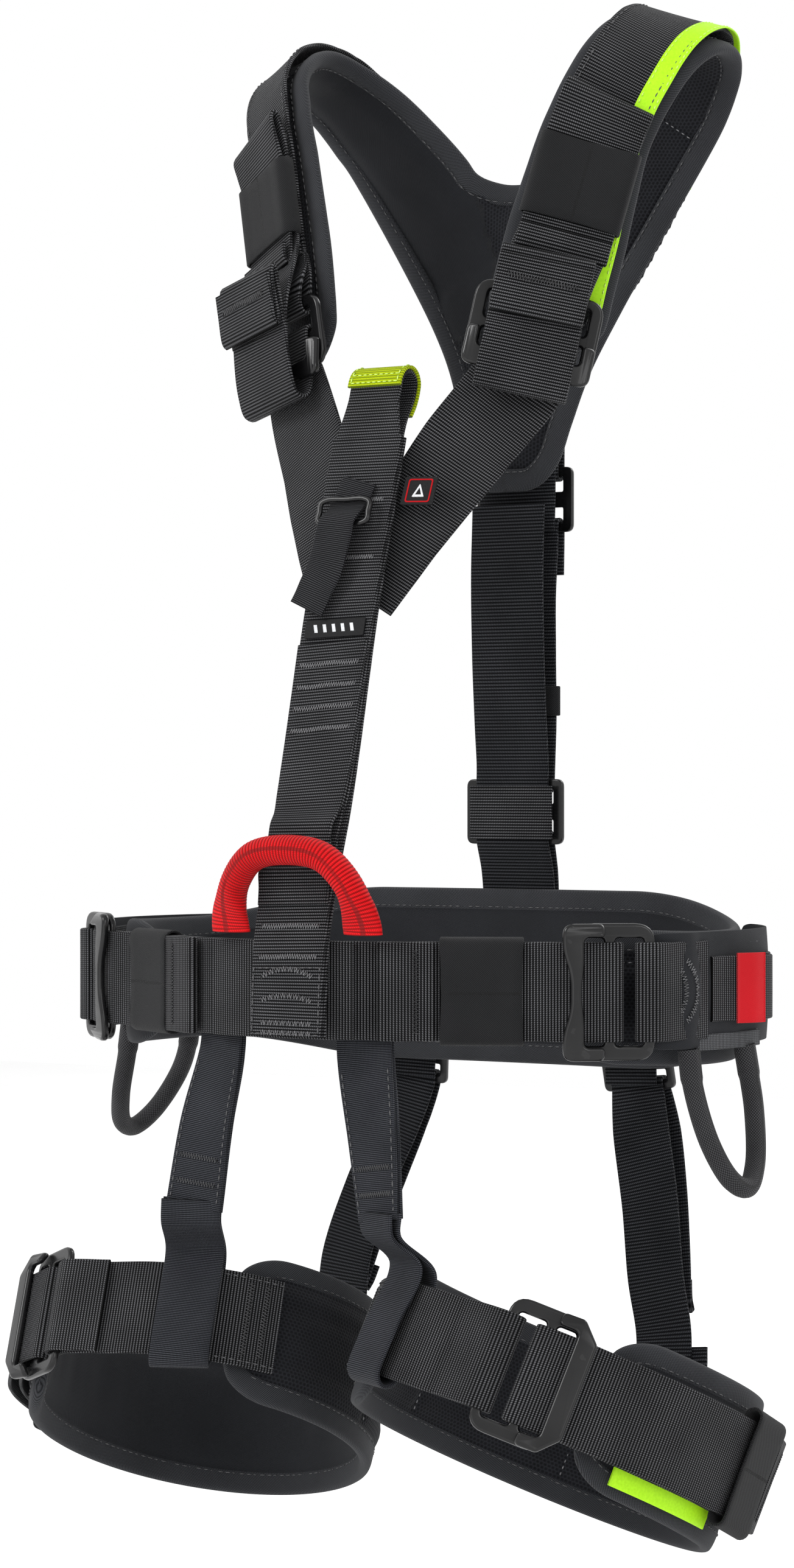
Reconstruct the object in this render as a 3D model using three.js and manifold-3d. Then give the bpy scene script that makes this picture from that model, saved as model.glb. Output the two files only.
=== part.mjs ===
// A full body tree climbing harness, standing as it is worn: a padded waist belt, a chest harness with
// a Y-shaped shoulder yoke, and two padded leg loops. All sizes are in millimetres. The origin is the
// middle of the waist opening at the height of the belt's webbing; +Z is up, -Y is the wearer's front
// and +X the wearer's left. Every strap is a band swept along a track, and each adjuster is a pair of
// plates that a strap doubles back through.
import * as THREE from "three";
import { mergeVertices } from "three/addons/utils/BufferGeometryUtils.js";
import Module from "manifold-3d";

const wasm = await Module();
wasm.setup();

// ---- driving dimensions ----
const WEB_WIDE = 45; // load-bearing webbing
const WEB_NARROW = 30; // webbing of the back and rear leg straps
const WEB_THICK = 2.2;
const PAD_THICK = 12;
const LAYER = 3.0; // from one layer of webbing to the next, centre to centre
const BELT_HEIGHT_BACK = 88;
const BELT_HEIGHT_SIDE = 62;
const WEB_RISER = 28;
const WEB_BACK = 42;
const LEG_RADIUS = 89; // of the webbing round the thigh
const LEG_CENTRE = [98, -42, -194];
const LEG_FALL = { left: [20, 37], right: [11, 41] }; // each loop's drop to its outer side and its back
const LEG_PAD_HEIGHT = 70;
const CORD_DIAMETER = 8.5; // gear loops
const BRIDGE_DIAMETER = 13.5;

// Adjuster plates, in the strap's own directions: u along it, w across it, h out from the body.
const PLATE = { thick: 3, length: 36, back: -10, width: 62, slotWidth: 48.8, corner: 7 };
const SLOTS = [
  [-6, 3],
  [8, 21],
];
const LOOP_RISE = 6; // from the strap's layer under the plate's bar to the one over it
const SLIDER = { from: -16, to: 2, bar: 9, low: 4.8, mid: 7.6, high: 10.4, waist: 3 };

const COLOURS = {
  webbing: [0x25262a, 0.85, 0],
  elastic: [0x222326, 0.95, 0],
  pad: [0x2c2e33, 0.95, 0],
  alloy: [0x2b2b2e, 0.35, 1],
  plastic: [0x1c1c1f, 0.5, 0],
  red: [0xd8202a, 0.8, 0],
  lime: [0xb4d416, 0.8, 0],
  cord: [0x2a2b2e, 0.9, 0],
  label: [0x141416, 0.6, 0],
};

function rad(degrees) {
  return (degrees * Math.PI) / 180;
}

function vec(p) {
  return p.isVector3 ? p : new THREE.Vector3(...p);
}

// ---- tracks ----
// A track is a smooth line with a side direction at each of its points; `out` is square to both,
// away from the body.
class Track {
  constructor(points, sides) {
    this.line = new THREE.CatmullRomCurve3(points.map(vec), false, "centripetal");
    this.line.arcLengthDivisions = 400;
    const list = Array.isArray(sides[0]) ? sides : points.map(() => sides);
    this.sides = list.map(vec);
    this.length = this.line.getLength();
  }

  frame(s) {
    const u = THREE.MathUtils.clamp(s / this.length, 0, 1);
    const t = this.line.getUtoTmapping(u);
    const at = this.line.getPoint(t);
    const along = this.line.getTangent(t);
    const side = this.sideAt(t);
    const out = along.clone().cross(side).normalize();
    return { at, along, out, side: out.clone().cross(along).normalize() };
  }

  sideAt(t) {
    const count = this.sides.length - 1;
    const i = Math.min(Math.floor(t * count), count - 1);
    return this.sides[i].clone().lerp(this.sides[i + 1], t * count - i).normalize();
  }

  on(s, h = 0) {
    const f = this.frame(s);
    return { at: f.at.addScaledVector(f.out, h), side: f.side };
  }
}

// A point of an adjuster's own flat frame, u along the strap and h out from the body.
function near(frame, u, h) {
  const at = frame.at.clone().addScaledVector(frame.along, u).addScaledVector(frame.out, h);
  return { at, side: frame.side };
}

// ---- swept bands ----
const SQUARE = [
  [-0.5, -0.5],
  [0.5, -0.5],
  [0.5, 0.5],
  [-0.5, 0.5],
];

// A section with rounded long edges, for pads: round is the rounding's share of the half width.
function padSection(width, thick) {
  const r = Math.min(thick / 2, width / 2) * 0.8;
  const [w, h] = [width / 2, thick / 2];
  return [
    [-w, -h + r],
    [-w + r, -h],
    [w - r, -h],
    [w, -h + r],
    [w, h - r],
    [w - r, h],
    [-w + r, h],
    [-w, h - r],
  ];
}

function stripSection(width, thick) {
  return SQUARE.map(([a, b]) => [a * width, b * thick]);
}

function ovalSection(width, thick, sides = 8) {
  return Array.from({ length: sides }, (_, i) => {
    const a = (2 * Math.PI * (i + 0.5)) / sides;
    return [(Math.cos(a) * width) / 2, (Math.sin(a) * thick) / 2];
  });
}

// Samples a route of {at, side} points into stations, the same number between each two of its points.
function stations(route, per) {
  const line = new THREE.CatmullRomCurve3(route.map((p) => p.at), false, "centripetal");
  const count = (route.length - 1) * per;
  const made = [];
  for (let i = 0; i <= count; i++) {
    const t = i / count;
    const k = Math.min(Math.floor(t * (route.length - 1)), route.length - 2);
    const side = route[k].side.clone().lerp(route[k + 1].side, t * (route.length - 1) - k);
    const along = line.getTangent(t);
    const out = along.clone().cross(side).normalize();
    made.push({ at: line.getPoint(t), side: out.clone().cross(along).normalize(), out, t });
  }
  return made;
}

// A closed band through the stations. section(t) gives its outline as [across, outwards] points.
function band(list, section) {
  const position = [];
  const index = [];
  const size = section(0).length;
  for (const s of list) {
    for (const [w, h] of section(s.t)) {
      const p = s.at.clone().addScaledVector(s.side, w).addScaledVector(s.out, h);
      position.push(p.x, p.y, p.z);
    }
  }
  for (let i = 0; i + 1 < list.length; i++) {
    for (let k = 0; k < size; k++) {
      const [a, b] = [i * size + k, i * size + ((k + 1) % size)];
      index.push(a, a + size, b, b, a + size, b + size);
    }
  }
  const last = (list.length - 1) * size;
  for (let k = 1; k + 1 < size; k++) {
    index.push(0, k, k + 1, last, last + k + 1, last + k);
  }
  const geometry = new THREE.BufferGeometry();
  geometry.setAttribute("position", new THREE.Float32BufferAttribute(position, 3));
  geometry.setIndex(index);
  return facingOut(geometry);
}

function facingOut(geometry) {
  const p = geometry.getAttribute("position");
  const index = geometry.index.array;
  const [a, b, c] = [new THREE.Vector3(), new THREE.Vector3(), new THREE.Vector3()];
  let volume = 0;
  for (let i = 0; i < index.length; i += 3) {
    a.fromBufferAttribute(p, index[i]);
    b.fromBufferAttribute(p, index[i + 1]);
    c.fromBufferAttribute(p, index[i + 2]);
    volume += a.dot(b.cross(c));
  }
  if (volume < 0) {
    for (let i = 0; i < index.length; i += 3) {
      [index[i + 1], index[i + 2]] = [index[i + 2], index[i + 1]];
    }
  }
  return geometry;
}

function strap(route, { width = WEB_WIDE, thick = WEB_THICK, per = 2 } = {}) {
  return band(stations(route, per), () => stripSection(width, thick));
}

// Joins closed geometries into one solid.
function joined(...geometries) {
  const solids = geometries.map((g) => {
    const bare = new THREE.BufferGeometry();
    bare.setAttribute("position", g.getAttribute("position"));
    if (g.index) {
      bare.setIndex(g.index);
    }
    const merged = mergeVertices(bare, 1e-3);
    const mesh = new wasm.Mesh({
      numProp: 3,
      vertProperties: merged.getAttribute("position").array,
      triVerts: new Uint32Array(merged.index.array),
    });
    return new wasm.Manifold(mesh);
  });
  const mesh = solids.reduce((whole, next) => whole.add(next)).getMesh();
  const geometry = new THREE.BufferGeometry();
  geometry.setAttribute("position", new THREE.Float32BufferAttribute(mesh.vertProperties, 3));
  geometry.setIndex(new THREE.Uint32BufferAttribute(mesh.triVerts, 1));
  return geometry;
}

// ---- flat plates ----
function roundedRectangle(u0, u1, w, r) {
  const shape = new THREE.Shape();
  shape.moveTo(u0 + r, -w);
  shape.lineTo(u1 - r, -w);
  shape.absarc(u1 - r, -w + r, r, -Math.PI / 2, 0);
  shape.lineTo(u1, w - r);
  shape.absarc(u1 - r, w - r, r, 0, Math.PI / 2);
  shape.lineTo(u0 + r, w);
  shape.absarc(u0 + r, w - r, r, Math.PI / 2, Math.PI);
  shape.lineTo(u0, -w + r);
  shape.absarc(u0 + r, -w + r, r, Math.PI, 1.5 * Math.PI);
  return shape;
}

function extruded(shape, low, high) {
  const options = { depth: high - low, bevelEnabled: false, curveSegments: 3 };
  return new THREE.ExtrudeGeometry(shape, options).translate(0, 0, low);
}

// The plate that stays with the sewn strap: a ladder with two slots.
function adjusterPlate() {
  const low = (LOOP_RISE - PLATE.thick) / 2;
  const shape = roundedRectangle(PLATE.back, PLATE.back + PLATE.length, PLATE.width / 2, PLATE.corner);
  for (const [from, to] of SLOTS) {
    shape.holes.push(roundedRectangle(from, to, PLATE.slotWidth / 2, 1.5));
  }
  return extruded(shape, low, low + PLATE.thick);
}

// The plate that a hand pulls: a C whose grip bar narrows in the middle, with an arm over each end of
// the other plate.
function adjusterSlider() {
  const [half, inner] = [PLATE.width / 2, PLATE.slotWidth / 2 + 0.3];
  const { from, to, bar, low, mid, high, waist } = SLIDER;
  const grip = new THREE.Shape();
  grip.moveTo(from + 4, -half);
  grip.lineTo(to, -half);
  grip.lineTo(to, -inner);
  grip.lineTo(from + bar, -inner);
  grip.lineTo(from + bar, inner);
  grip.lineTo(to, inner);
  grip.lineTo(to, half);
  grip.lineTo(from + 4, half);
  grip.lineTo(from, half - 6);
  grip.quadraticCurveTo(from, half / 2, from + waist, half / 4);
  grip.lineTo(from + waist, -half / 4);
  grip.quadraticCurveTo(from, -half / 2, from, -half + 6);
  const arms = [-1, 1].map((end) => {
    const arm = new THREE.Shape();
    const [a, b] = end < 0 ? [-half, -inner] : [inner, half];
    arm.moveTo(from + 5, a);
    arm.lineTo(to, a);
    arm.lineTo(to, b);
    arm.lineTo(from + 5, b);
    return extruded(arm, low, mid + 0.5);
  });
  return joined(extruded(grip, mid, high), ...arms);
}

// An elastic sleeve: a flat tube of length `length` round `layers` of webbing.
function keeper(length, width, low, high, wall = 1.3) {
  const [w, h0, h1] = [width / 2 + 0.6, low, high];
  const shape = new THREE.Shape();
  shape.moveTo(-w - wall, h0 - wall);
  shape.lineTo(w + wall, h0 - wall);
  shape.lineTo(w + wall, h1 + wall);
  shape.lineTo(-w - wall, h1 + wall);
  const hole = new THREE.Path();
  hole.moveTo(-w, h0);
  hole.lineTo(w, h0);
  hole.lineTo(w, h1);
  hole.lineTo(-w, h1);
  shape.holes.push(hole);
  const geometry = new THREE.ExtrudeGeometry(shape, { depth: length, bevelEnabled: false });
  geometry.translate(0, 0, -length / 2);
  // The tube's own axes are w, h and along; turned so that they are along, w and h.
  const turn = new THREE.Matrix4().makeBasis(vec([0, 1, 0]), vec([0, 0, 1]), vec([1, 0, 0]));
  return geometry.applyMatrix4(turn);
}

// ---- the object ----
const harness = new THREE.Group();
const leftSide = new THREE.Group();
const rightSide = new THREE.Group();
rightSide.scale.x = -1;
harness.add(leftSide, rightSide);
const SIDES = [
  ["left", leftSide],
  ["right", rightSide],
];

function mesh(name, geometry, colour, group = harness) {
  const [color, roughness, metalness] = COLOURS[colour];
  const made = new THREE.Mesh(geometry, new THREE.MeshStandardMaterial({ color, roughness, metalness }));
  made.name = name;
  group.add(made);
  return made;
}

// Puts a plate or sleeve, made round u = 0, at a place on a strap.
function seated(made, frame, lift = 0) {
  const at = frame.at.clone().addScaledVector(frame.out, lift);
  const basis = new THREE.Matrix4().makeBasis(frame.along, frame.side, frame.out).setPosition(at);
  made.applyMatrix4(basis);
  return made;
}

// Where a strap doubles back round an adjuster's middle bar, and where the sewn one folds round its far bar.
const TURN = [[-12, 0], [2, 0], [8, 0], [10.1, 0.9], [11, 3], [10.1, 5.1], [8, 6], [0, 6], [-12, 6]];
const LOOP_TURN = [[27, 6], [21, 6], [18.9, 5.1], [18, 3], [18.9, 0.9], [21, -0.1], [28, -0.6]];

function turnBack(track, s) {
  const b = track.frame(s);
  return TURN.map(([u, h]) => near(b, u, h));
}

function sewnEnd(track, s) {
  const b = track.frame(s);
  const fold = LOOP_TURN.map(([u, h]) => near(b, u, h));
  return [track.on(s + 55, 2.8), track.on(s + 45, 3.2), ...fold, track.on(s + 44, 0)];
}

// A strap's stitched stopper: its last stretch turned over on itself, from place s, at height h.
function stopper(track, s, h, step) {
  return [track.on(s, h), track.on(s + 0.8 * step, h + 0.5), track.on(s + step, h + LAYER / 2),
    track.on(s + 0.8 * step, h + LAYER - 0.4), track.on(s, h + LAYER), track.on(s - 5 * step, h + LAYER)];
}

// ---- waist belt ----
const WAIST = new Track(
  [
    [0, -125, 0],
    [24, -124, 0],
    [47, -118.5, 0],
    [78, -102, 0],
    [109, -85.5, 0],
    [138, -70, 0],
    [159, -49, 0],
    [169, -14, 0],
    [169, 22, 0],
    [153, 58, 0],
    [116, 84, 0],
    [62, 94, 0],
    [0, 96, 0],
  ],
  [0, 0, 1],
);
const WAIST_BUCKLE_AT = 148;
const WAIST_KEEPER_AT = 96;

function waistPad() {
  const half = [
    [0, 84, -3],
    [60, 82, -3],
    [108, 74, -3],
    [141, 51, -4],
    [156, 20, -5],
    [156, -14, -5],
    [146, -40, -4],
    [128, -56, -3],
    [112, -62, -2],
  ];
  const points = [...half.slice(1).reverse().map(([x, y, z]) => [-x, y, z]), ...half];
  const up = new THREE.Vector3(0, 0, 1);
  const route = points.map((p) => ({ at: vec(p), side: up }));
  return band(stations(route, 3), (t) => {
    const side = Math.abs(t - 0.5) * 2;
    const forward = THREE.MathUtils.smoothstep(side, 0.25, 0.6);
    const body = THREE.MathUtils.lerp(BELT_HEIGHT_BACK, BELT_HEIGHT_SIDE, forward);
    return padSection(body * roundEnd(Math.min(t, 1 - t) / 0.05), PAD_THICK);
  });
}

// The share of its full width that a rounded end has, at a share of the end's own length.
function roundEnd(share) {
  return share < 1 ? 0.5 + 0.5 * Math.sqrt(1 - (1 - share) ** 2) : 1;
}

function toSide(way, { at, side }) {
  return { at: vec([at.x * way, at.y, at.z]), side: vec([side.x * way, side.y, side.z]) };
}

function mirrored(route) {
  return route.map(({ at, side }) => ({ at: vec([-at.x, at.y, at.z]), side })).reverse();
}

mesh("waist_pad", waistPad(), "pad");

// The belt's own webbing, from one adjuster round the back to the other.
function waistBackWeb() {
  const half = sewnEnd(WAIST, WAIST_BUCKLE_AT);
  for (let s = WAIST_BUCKLE_AT + 60; s < WAIST.length - 20; s += 24) {
    half.push(WAIST.on(s, 0));
  }
  return strap([...half, WAIST.on(WAIST.length, 0), ...mirrored(half)]);
}
mesh("waist_back_web", waistBackWeb(), "webbing");

// The stiff middle of the front, between the sternal strap and the belt's own straps.
function waistCentreWeb() {
  const half = [5, 16, 27, 38].map((s) => WAIST.on(s, LAYER));
  return strap([...mirrored(half), ...half], { per: 1 });
}
mesh("waist_centre_web", waistCentreWeb(), "webbing");

function waistStrap() {
  const before = [1.5, 18, 34, 50, 72, 96, 118].map((s) => WAIST.on(s, 0));
  const after = [118, 96, 72].map((s) => WAIST.on(s, 3.6));
  return strap([...before, ...turnBack(WAIST, WAIST_BUCKLE_AT), ...after, ...stopper(WAIST, 60, 3.6, -2.5)]);
}

for (const [side, group] of SIDES) {
  mesh(`waist_strap_${side}`, waistStrap(), "webbing", group);
  mesh(`waist_buckle_${side}`, seated(adjusterPlate(), WAIST.frame(WAIST_BUCKLE_AT)), "alloy", group);
  mesh(`waist_slider_${side}`, seated(adjusterSlider(), WAIST.frame(WAIST_BUCKLE_AT)), "alloy", group);
  const sleeve = keeper(38, WEB_WIDE, -1.9, 5.6);
  mesh(`waist_keeper_${side}`, seated(sleeve, WAIST.frame(WAIST_KEEPER_AT)), "elastic", group);
}

// A textile loop on each side of the belt, for a positioning lanyard.
function lateralLoop() {
  const rise = [2.8, 2.9, 4.6, 8.5, 10.5, 9.5, 4.6, 2.9, 2.8];
  return strap(rise.map((h, i) => WAIST.on(206 + 8 * i, h)), { width: WEB_NARROW });
}
for (const [side, group] of SIDES) {
  mesh(`lateral_loop_${side}`, lateralLoop(), "webbing", group);
}

// A stiff hoop of sheathed cord under each side of the belt.
function gearLoop(front, back, depth, flare) {
  const [a, b] = [WAIST.on(front, 0).at, WAIST.on(back, 0).at];
  const top = -WEB_WIDE / 2 - 4.8;
  const along = [0, 0.02, 0.14, 0.36, 0.6, 0.84, 1.03, 1.04, 1];
  const down = [0, 0.28, 0.68, 0.94, 1, 0.85, 0.48, 0.2, 0];
  const out = WAIST.frame((front + back) / 2).out;
  const line = along.map((share, i) => {
    const p = a.clone().lerp(b, share).addScaledVector(out, flare * down[i] ** 1.5);
    return { at: p.setZ(top - depth * down[i]), side: out };
  });
  return band(stations(line, 2), () => ovalSection(CORD_DIAMETER, CORD_DIAMETER));
}
mesh("gear_loop_left", gearLoop(194, 238, 64, 14), "cord", leftSide);
mesh("gear_loop_right", gearLoop(222, 268, 56, 22), "cord", rightSide);

// The ventral bridge: a padded tube that stands up from the belt's front on two flat ends.
const BRIDGE = { x: 12, y: -131, foot: 26, half: 36, crown: 38, lean: 8 };
function ventralBridge() {
  const across = [-1, -1, -0.97, -0.84, -0.52, 0, 0.52, 0.84, 0.97, 1, 1];
  const rise = [0, 0.08, 0.3, 0.62, 0.92, 1, 0.92, 0.62, 0.3, 0.08, 0];
  const out = new THREE.Vector3(0, -1, 0);
  const line = across.map((share, i) => {
    const [y, z] = [BRIDGE.y - BRIDGE.lean * rise[i], BRIDGE.foot + BRIDGE.crown * rise[i]];
    return { at: vec([BRIDGE.x + BRIDGE.half * share, y, z]), side: out };
  });
  return band(stations(line, 2), (t) => {
    const full = THREE.MathUtils.smoothstep(Math.min(t, 1 - t), 0.02, 0.2);
    const deep = THREE.MathUtils.lerp(4, BRIDGE_DIAMETER, full);
    return ovalSection(deep, THREE.MathUtils.lerp(20, BRIDGE_DIAMETER, full));
  });
}
mesh("ventral_bridge", ventralBridge(), "red");

// ---- chest ----
const STERNUM = new Track(
  [
    [10, -135.5, -21],
    [10, -134.5, 0],
    [9.5, -132, 20],
    [8.5, -123, 50],
    [7.5, -110, 84],
    [4, -95, 120],
    [1, -81, 158],
    [0, -69, 196],
    [0, -59, 228],
    [0, -52, 252],
    [0, -48, 266],
  ],
  [-1, 0, 0],
);
const STERNUM_WIDTH = 40;

function sternalStrap() {
  const places = [0, 22, 45, 75, 105, 140, 175, 210, 240, STERNUM.length - 8];
  const strips = places.map((s) => STERNUM.on(s, 0));
  const loop = strap(loopRoute(), { width: STERNUM_WIDTH - 3 });
  return joined(strap(strips, { width: STERNUM_WIDTH, thick: 4.4 }), loop);
}

// The attachment loop at the top of the sternal strap: up in front, over, and down behind.
function loopRoute() {
  const top = STERNUM.frame(STERNUM.length - 10);
  const outline = [
    [-18, 0.6], [2, 1], [24, 1], [34, -0.4], [38, -6],
    [35.5, -11.5], [26, -12], [14, -8], [3, -4], [-18, -0.8],
  ];
  return outline.map(([u, h]) => near(top, u, h));
}

// The same route moved outwards by h.
function raised(route, h) {
  return stations(route, 2).map(({ at, out, side }) => ({ at: at.clone().addScaledVector(out, h), side }));
}

mesh("sternal_strap", sternalStrap(), "webbing");

// A bright sleeve of tape over the loop's crown.
const TAPE = { width: STERNUM_WIDTH - 2, thick: 1.4, per: 1 };
mesh("sternal_tape", strap(raised(loopRoute(), 2.4).slice(5, 13), TAPE), "lime");

function onSternum(geometry, s, h) {
  const f = STERNUM.frame(s);
  return seated(geometry, { ...f, at: f.at.addScaledVector(f.out, h) });
}

mesh("sternal_label", onSternum(new THREE.BoxGeometry(9, 33, 0.8), 197.4, 3.1), "label");

// A short accessory strap at the top of the sternal strap, with its wire adjuster.
const ACCESSORY = { s: 254, x: -2, wire: 2.8, width: 30, height: 15, lift: 8.4 };
function accessoryStrap() {
  const f = STERNUM.frame(ACCESSORY.s);
  const places = [
    [17, 4, 3], [10, 4.4, 1], [5, 5.3, 0], [1.4, 7, 0], [-1.4, 9.4, 0],
    [-6, 11.6, -1], [-13, 10.8, -2], [-28, 8.6, -5], [-37, 7.6, -8.6], [-43, 7, -10.8],
  ];
  const route = places.map(([u, h, w]) => {
    const p = near(f, u, h);
    return { at: p.at.add(vec([w + ACCESSORY.x, 0, 0])), side: p.side };
  });
  return strap(route, { width: 20, thick: 1.4 });
}
mesh("accessory_strap", accessoryStrap(), "webbing");

function accessoryRing() {
  const { width, height, wire } = ACCESSORY;
  const [w, h] = [width / 2 - wire / 2, height / 2 - wire / 2];
  const corners = [
    [0, -w, 0], [h * 0.7, -w, 0], [h, -w * 0.75, 0], [h, 0, 0], [h, w * 0.75, 0], [h * 0.7, w, 0],
    [0, w, 0], [-h * 0.7, w, 0], [-h, w * 0.75, 0], [-h, 0, 0], [-h, -w * 0.75, 0], [-h * 0.7, -w, 0],
  ];
  const loop = new THREE.CatmullRomCurve3(corners.map(vec), true, "centripetal");
  const ring = new THREE.TubeGeometry(loop, 32, wire / 2, 6, true);
  const bare = new THREE.BufferGeometry();
  bare.setAttribute("position", ring.getAttribute("position"));
  bare.setIndex(ring.index);
  return mergeVertices(bare, 1e-4);
}
function accessoryFrame() {
  const f = STERNUM.frame(ACCESSORY.s);
  f.at.addScaledVector(f.out, ACCESSORY.lift).add(vec([ACCESSORY.x, 0, 0]));
  return f;
}
mesh("accessory_ring", seated(accessoryRing(), accessoryFrame()), "alloy");

// ---- shoulder yoke ----
const ARM = new Track(
  [
    [66, -1, 302],
    [70, 2, 327],
    [75, 6, 352],
    [81, 10, 378],
    [87, 14, 402],
    [95, 20, 424],
    [102, 29, 441],
    [106, 44, 453],
    [107, 62, 457],
    [103, 79, 453],
    [91, 90, 438],
    [73, 95, 416],
    [58, 98, 395],
    [45, 99.5, 376],
    [31, 100, 356],
  ],
  [
    [-0.87, -0.5, 0],
    [-0.87, -0.5, 0],
    [-0.87, -0.5, 0],
    [-0.87, -0.5, 0],
    [-0.87, -0.5, 0.05],
    [-0.87, -0.5, 0.1],
    [-0.86, -0.52, 0.18],
    [-0.85, -0.52, 0.24],
    [-0.84, -0.5, 0.27],
    [-0.84, -0.42, 0.35],
    [-0.8, -0.35, 0.5],
    [-0.74, -0.29, 0.61],
    [-0.66, -0.2, 0.72],
    [-0.56, -0.13, 0.82],
    [-0.5, -0.1, 0.86],
  ],
);
const ARM_STATIONS = 28;
const ARM_WIDTHS = [56, 56, 50, 49, 56, 64, 66]; // of the pad, at even steps along it

function armPlace(i, h = 0) {
  return ARM.on((ARM.length * i) / ARM_STATIONS, h);
}

function yokeArm(way) {
  const list = Array.from({ length: ARM_STATIONS + 1 }, (_, i) => armPlace(i));
  return band(stations(list.map((p) => toSide(way, p)), 1), (t) => {
    const k = Math.min(Math.floor(t * 6), 5);
    const wide = THREE.MathUtils.lerp(ARM_WIDTHS[k], ARM_WIDTHS[k + 1], t * 6 - k);
    return padSection(wide * roundEnd(t / 0.07), PAD_THICK);
  });
}

function yokePanel() {
  const rows = [
    [399, 99, 20],
    [388, 99.5, 56],
    [370, 100, 96],
    [350, 99.5, 122],
    [325, 97, 100],
    [300, 93, 78],
    [275, 88, 63],
    [256, 84.5, 52],
    [243, 82, 34],
  ];
  const side = new THREE.Vector3(1, 0, 0);
  const route = rows.map(([z, y]) => ({ at: vec([0, y, z]), side }));
  return band(stations(route, 2), (t) => {
    const step = t * (rows.length - 1);
    const k = Math.min(Math.floor(step), rows.length - 2);
    return padSection(THREE.MathUtils.lerp(rows[k][2], rows[k + 1][2], step - k), PAD_THICK);
  });
}
mesh("yoke_pad", joined(yokePanel(), yokeArm(1), yokeArm(-1)), "pad");

// ---- shoulder straps and their adjusters ----
const ON_PAD = PAD_THICK / 2 + 2.1; // height of the webbing sewn along a pad
const SHOULDER_BUCKLES = {
  left: facing([67.5, -13.5, 303], [0.5, -0.87, 0], [0.15, 0.17, 0.97]),
  right: facing([67, -15.5, 303], [0.35, -0.94, 0], [0.15, 0.17, 0.97]),
};

function facing(at, out, along) {
  const o = vec(out).normalize();
  const side = o.clone().cross(vec(along)).normalize();
  return { at: vec(at), out: o, side, along: side.clone().cross(o) };
}

function shoulderWeb(b) {
  const fold = LOOP_TURN.map(([u, h]) => near(b, u, h));
  const route = [ARM.on(55, ON_PAD + 3.6), ARM.on(46, ON_PAD + 3.7), near(b, 32, 4.8), ...fold];
  for (let i = 4; i <= ARM_STATIONS - 1; i++) {
    route.push(armPlace(i, ON_PAD + (i > 22 ? 2.1 : 1)));
  }
  return strap(route, { per: 1 });
}

// From the sternal strap up to the adjuster, back down, and up again through its keeper.
function shoulderStrap(b, way) {
  const start = vec([0.47, 0.36, 0.8]).normalize();
  const low = [0, 16, 36, 60, 86].map((d) => {
    const at = vec([2, -64.5, 184]).addScaledVector(start, d);
    const turn = THREE.MathUtils.smoothstep(d, 30, 120);
    return { at, side: vec([-0.88, 0.05, 0.5]).lerp(b.side, turn).normalize() };
  });
  const back = [[-20, 7.4], [-25, 11], [-24, 16], [-14, 18.5], [4, 18.5], [22, 16]];
  const up = back.map(([u, h]) => near(b, u, h));
  const flat = [58, 70, 84, 98].map((s) => ARM.on(s, ON_PAD + 5.2));
  const fold = [
    [107, 5.2], [110, 6.8], [107, 8.4], [98, 8.4], [84, 8.4], [66, 8.4],
    [52, 9], [45, 10], [43, 11.6], [45.5, 13.2], [54, 12.6],
  ];
  const over = fold.map(([s, h]) => ARM.on(s, ON_PAD + h));
  const route = [...low, ...TURN.map(([u, h]) => near(b, u, h)), ...up, ...flat, ...over];
  return strap(route.map((p) => toSide(way, p)));
}

// Both shoulders hang from one piece, sewn together where it crosses behind the sternal strap.
const CHEST_SIDES = [shoulderStrap(SHOULDER_BUCKLES.left, 1), shoulderStrap(SHOULDER_BUCKLES.right, -1)];
mesh("chest_strap", joined(...CHEST_SIDES), "webbing");

for (const [side, group] of SIDES) {
  const b = SHOULDER_BUCKLES[side];
  mesh(`shoulder_web_${side}`, shoulderWeb(b), "webbing", group);
  mesh(`shoulder_buckle_${side}`, seated(adjusterPlate(), b), "alloy", group);
  mesh(`shoulder_slider_${side}`, seated(adjusterSlider(), b), "alloy", group);
  const sleeve = keeper(34, WEB_WIDE, ON_PAD + 3.6, ON_PAD + 10.5);
  mesh(`shoulder_keeper_${side}`, seated(sleeve, ARM.frame(79)), "elastic", group);
}

// ---- back strap ----
const BACK_BUCKLE = [0, 88, 80];
const YOKE_BUCKLE = [0, 98, 238];
const LADDER = { length: 33, slots: [[4, 12], [-12, -4]], thick: 2.6 };
const BAR_TURN = [[-3.1, 14.5], [-2.8, 11.3], [0, 10.1], [2.8, 11.3], [3.1, 14.5]];

// A band in the plane of symmetry, from [y, z] places.
function midRoute(list) {
  const side = new THREE.Vector3(1, 0, 0);
  return list.map(([y, z]) => ({ at: vec([0, y, z]), side }));
}

// The fold round a ladder's top (way = 1) or bottom (way = -1) bar.
function barFold([, y, z], way) {
  const fold = BAR_TURN.map(([dy, dz]) => [y + dy, z + way * dz]);
  return fold;
}

function backStrap() {
  const front = [[81, 235], [79.5, 200], [80.5, 160], [83, 125], [85, 104]];
  const rear = [[92, 108], [93, 125], [92.5, 160], [92.5, 190], [94.5, 212]];
  const list = [...front, ...barFold(BACK_BUCKLE, 1), ...rear, ...barFold(YOKE_BUCKLE, -1), [100.8, 200]];
  return strap(midRoute(list), { width: WEB_BACK });
}

function lumbarStrap() {
  const list = [[92.4, -15], [92.4, 10], [92.2, 32], [90, 50]];
  list.push(...barFold(BACK_BUCKLE, -1), [94.6, 50], [95.8, 33]);
  return strap(midRoute(list), { width: WEB_BACK });
}

function yokeWeb() {
  const list = [[107, 350], [105, 326], [101, 301], [96.7, 276], [95, 260]];
  list.push(...barFold(YOKE_BUCKLE, 1), [101.4, 265], [103, 282]);
  return strap(midRoute(list), { width: WEB_BACK });
}

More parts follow.
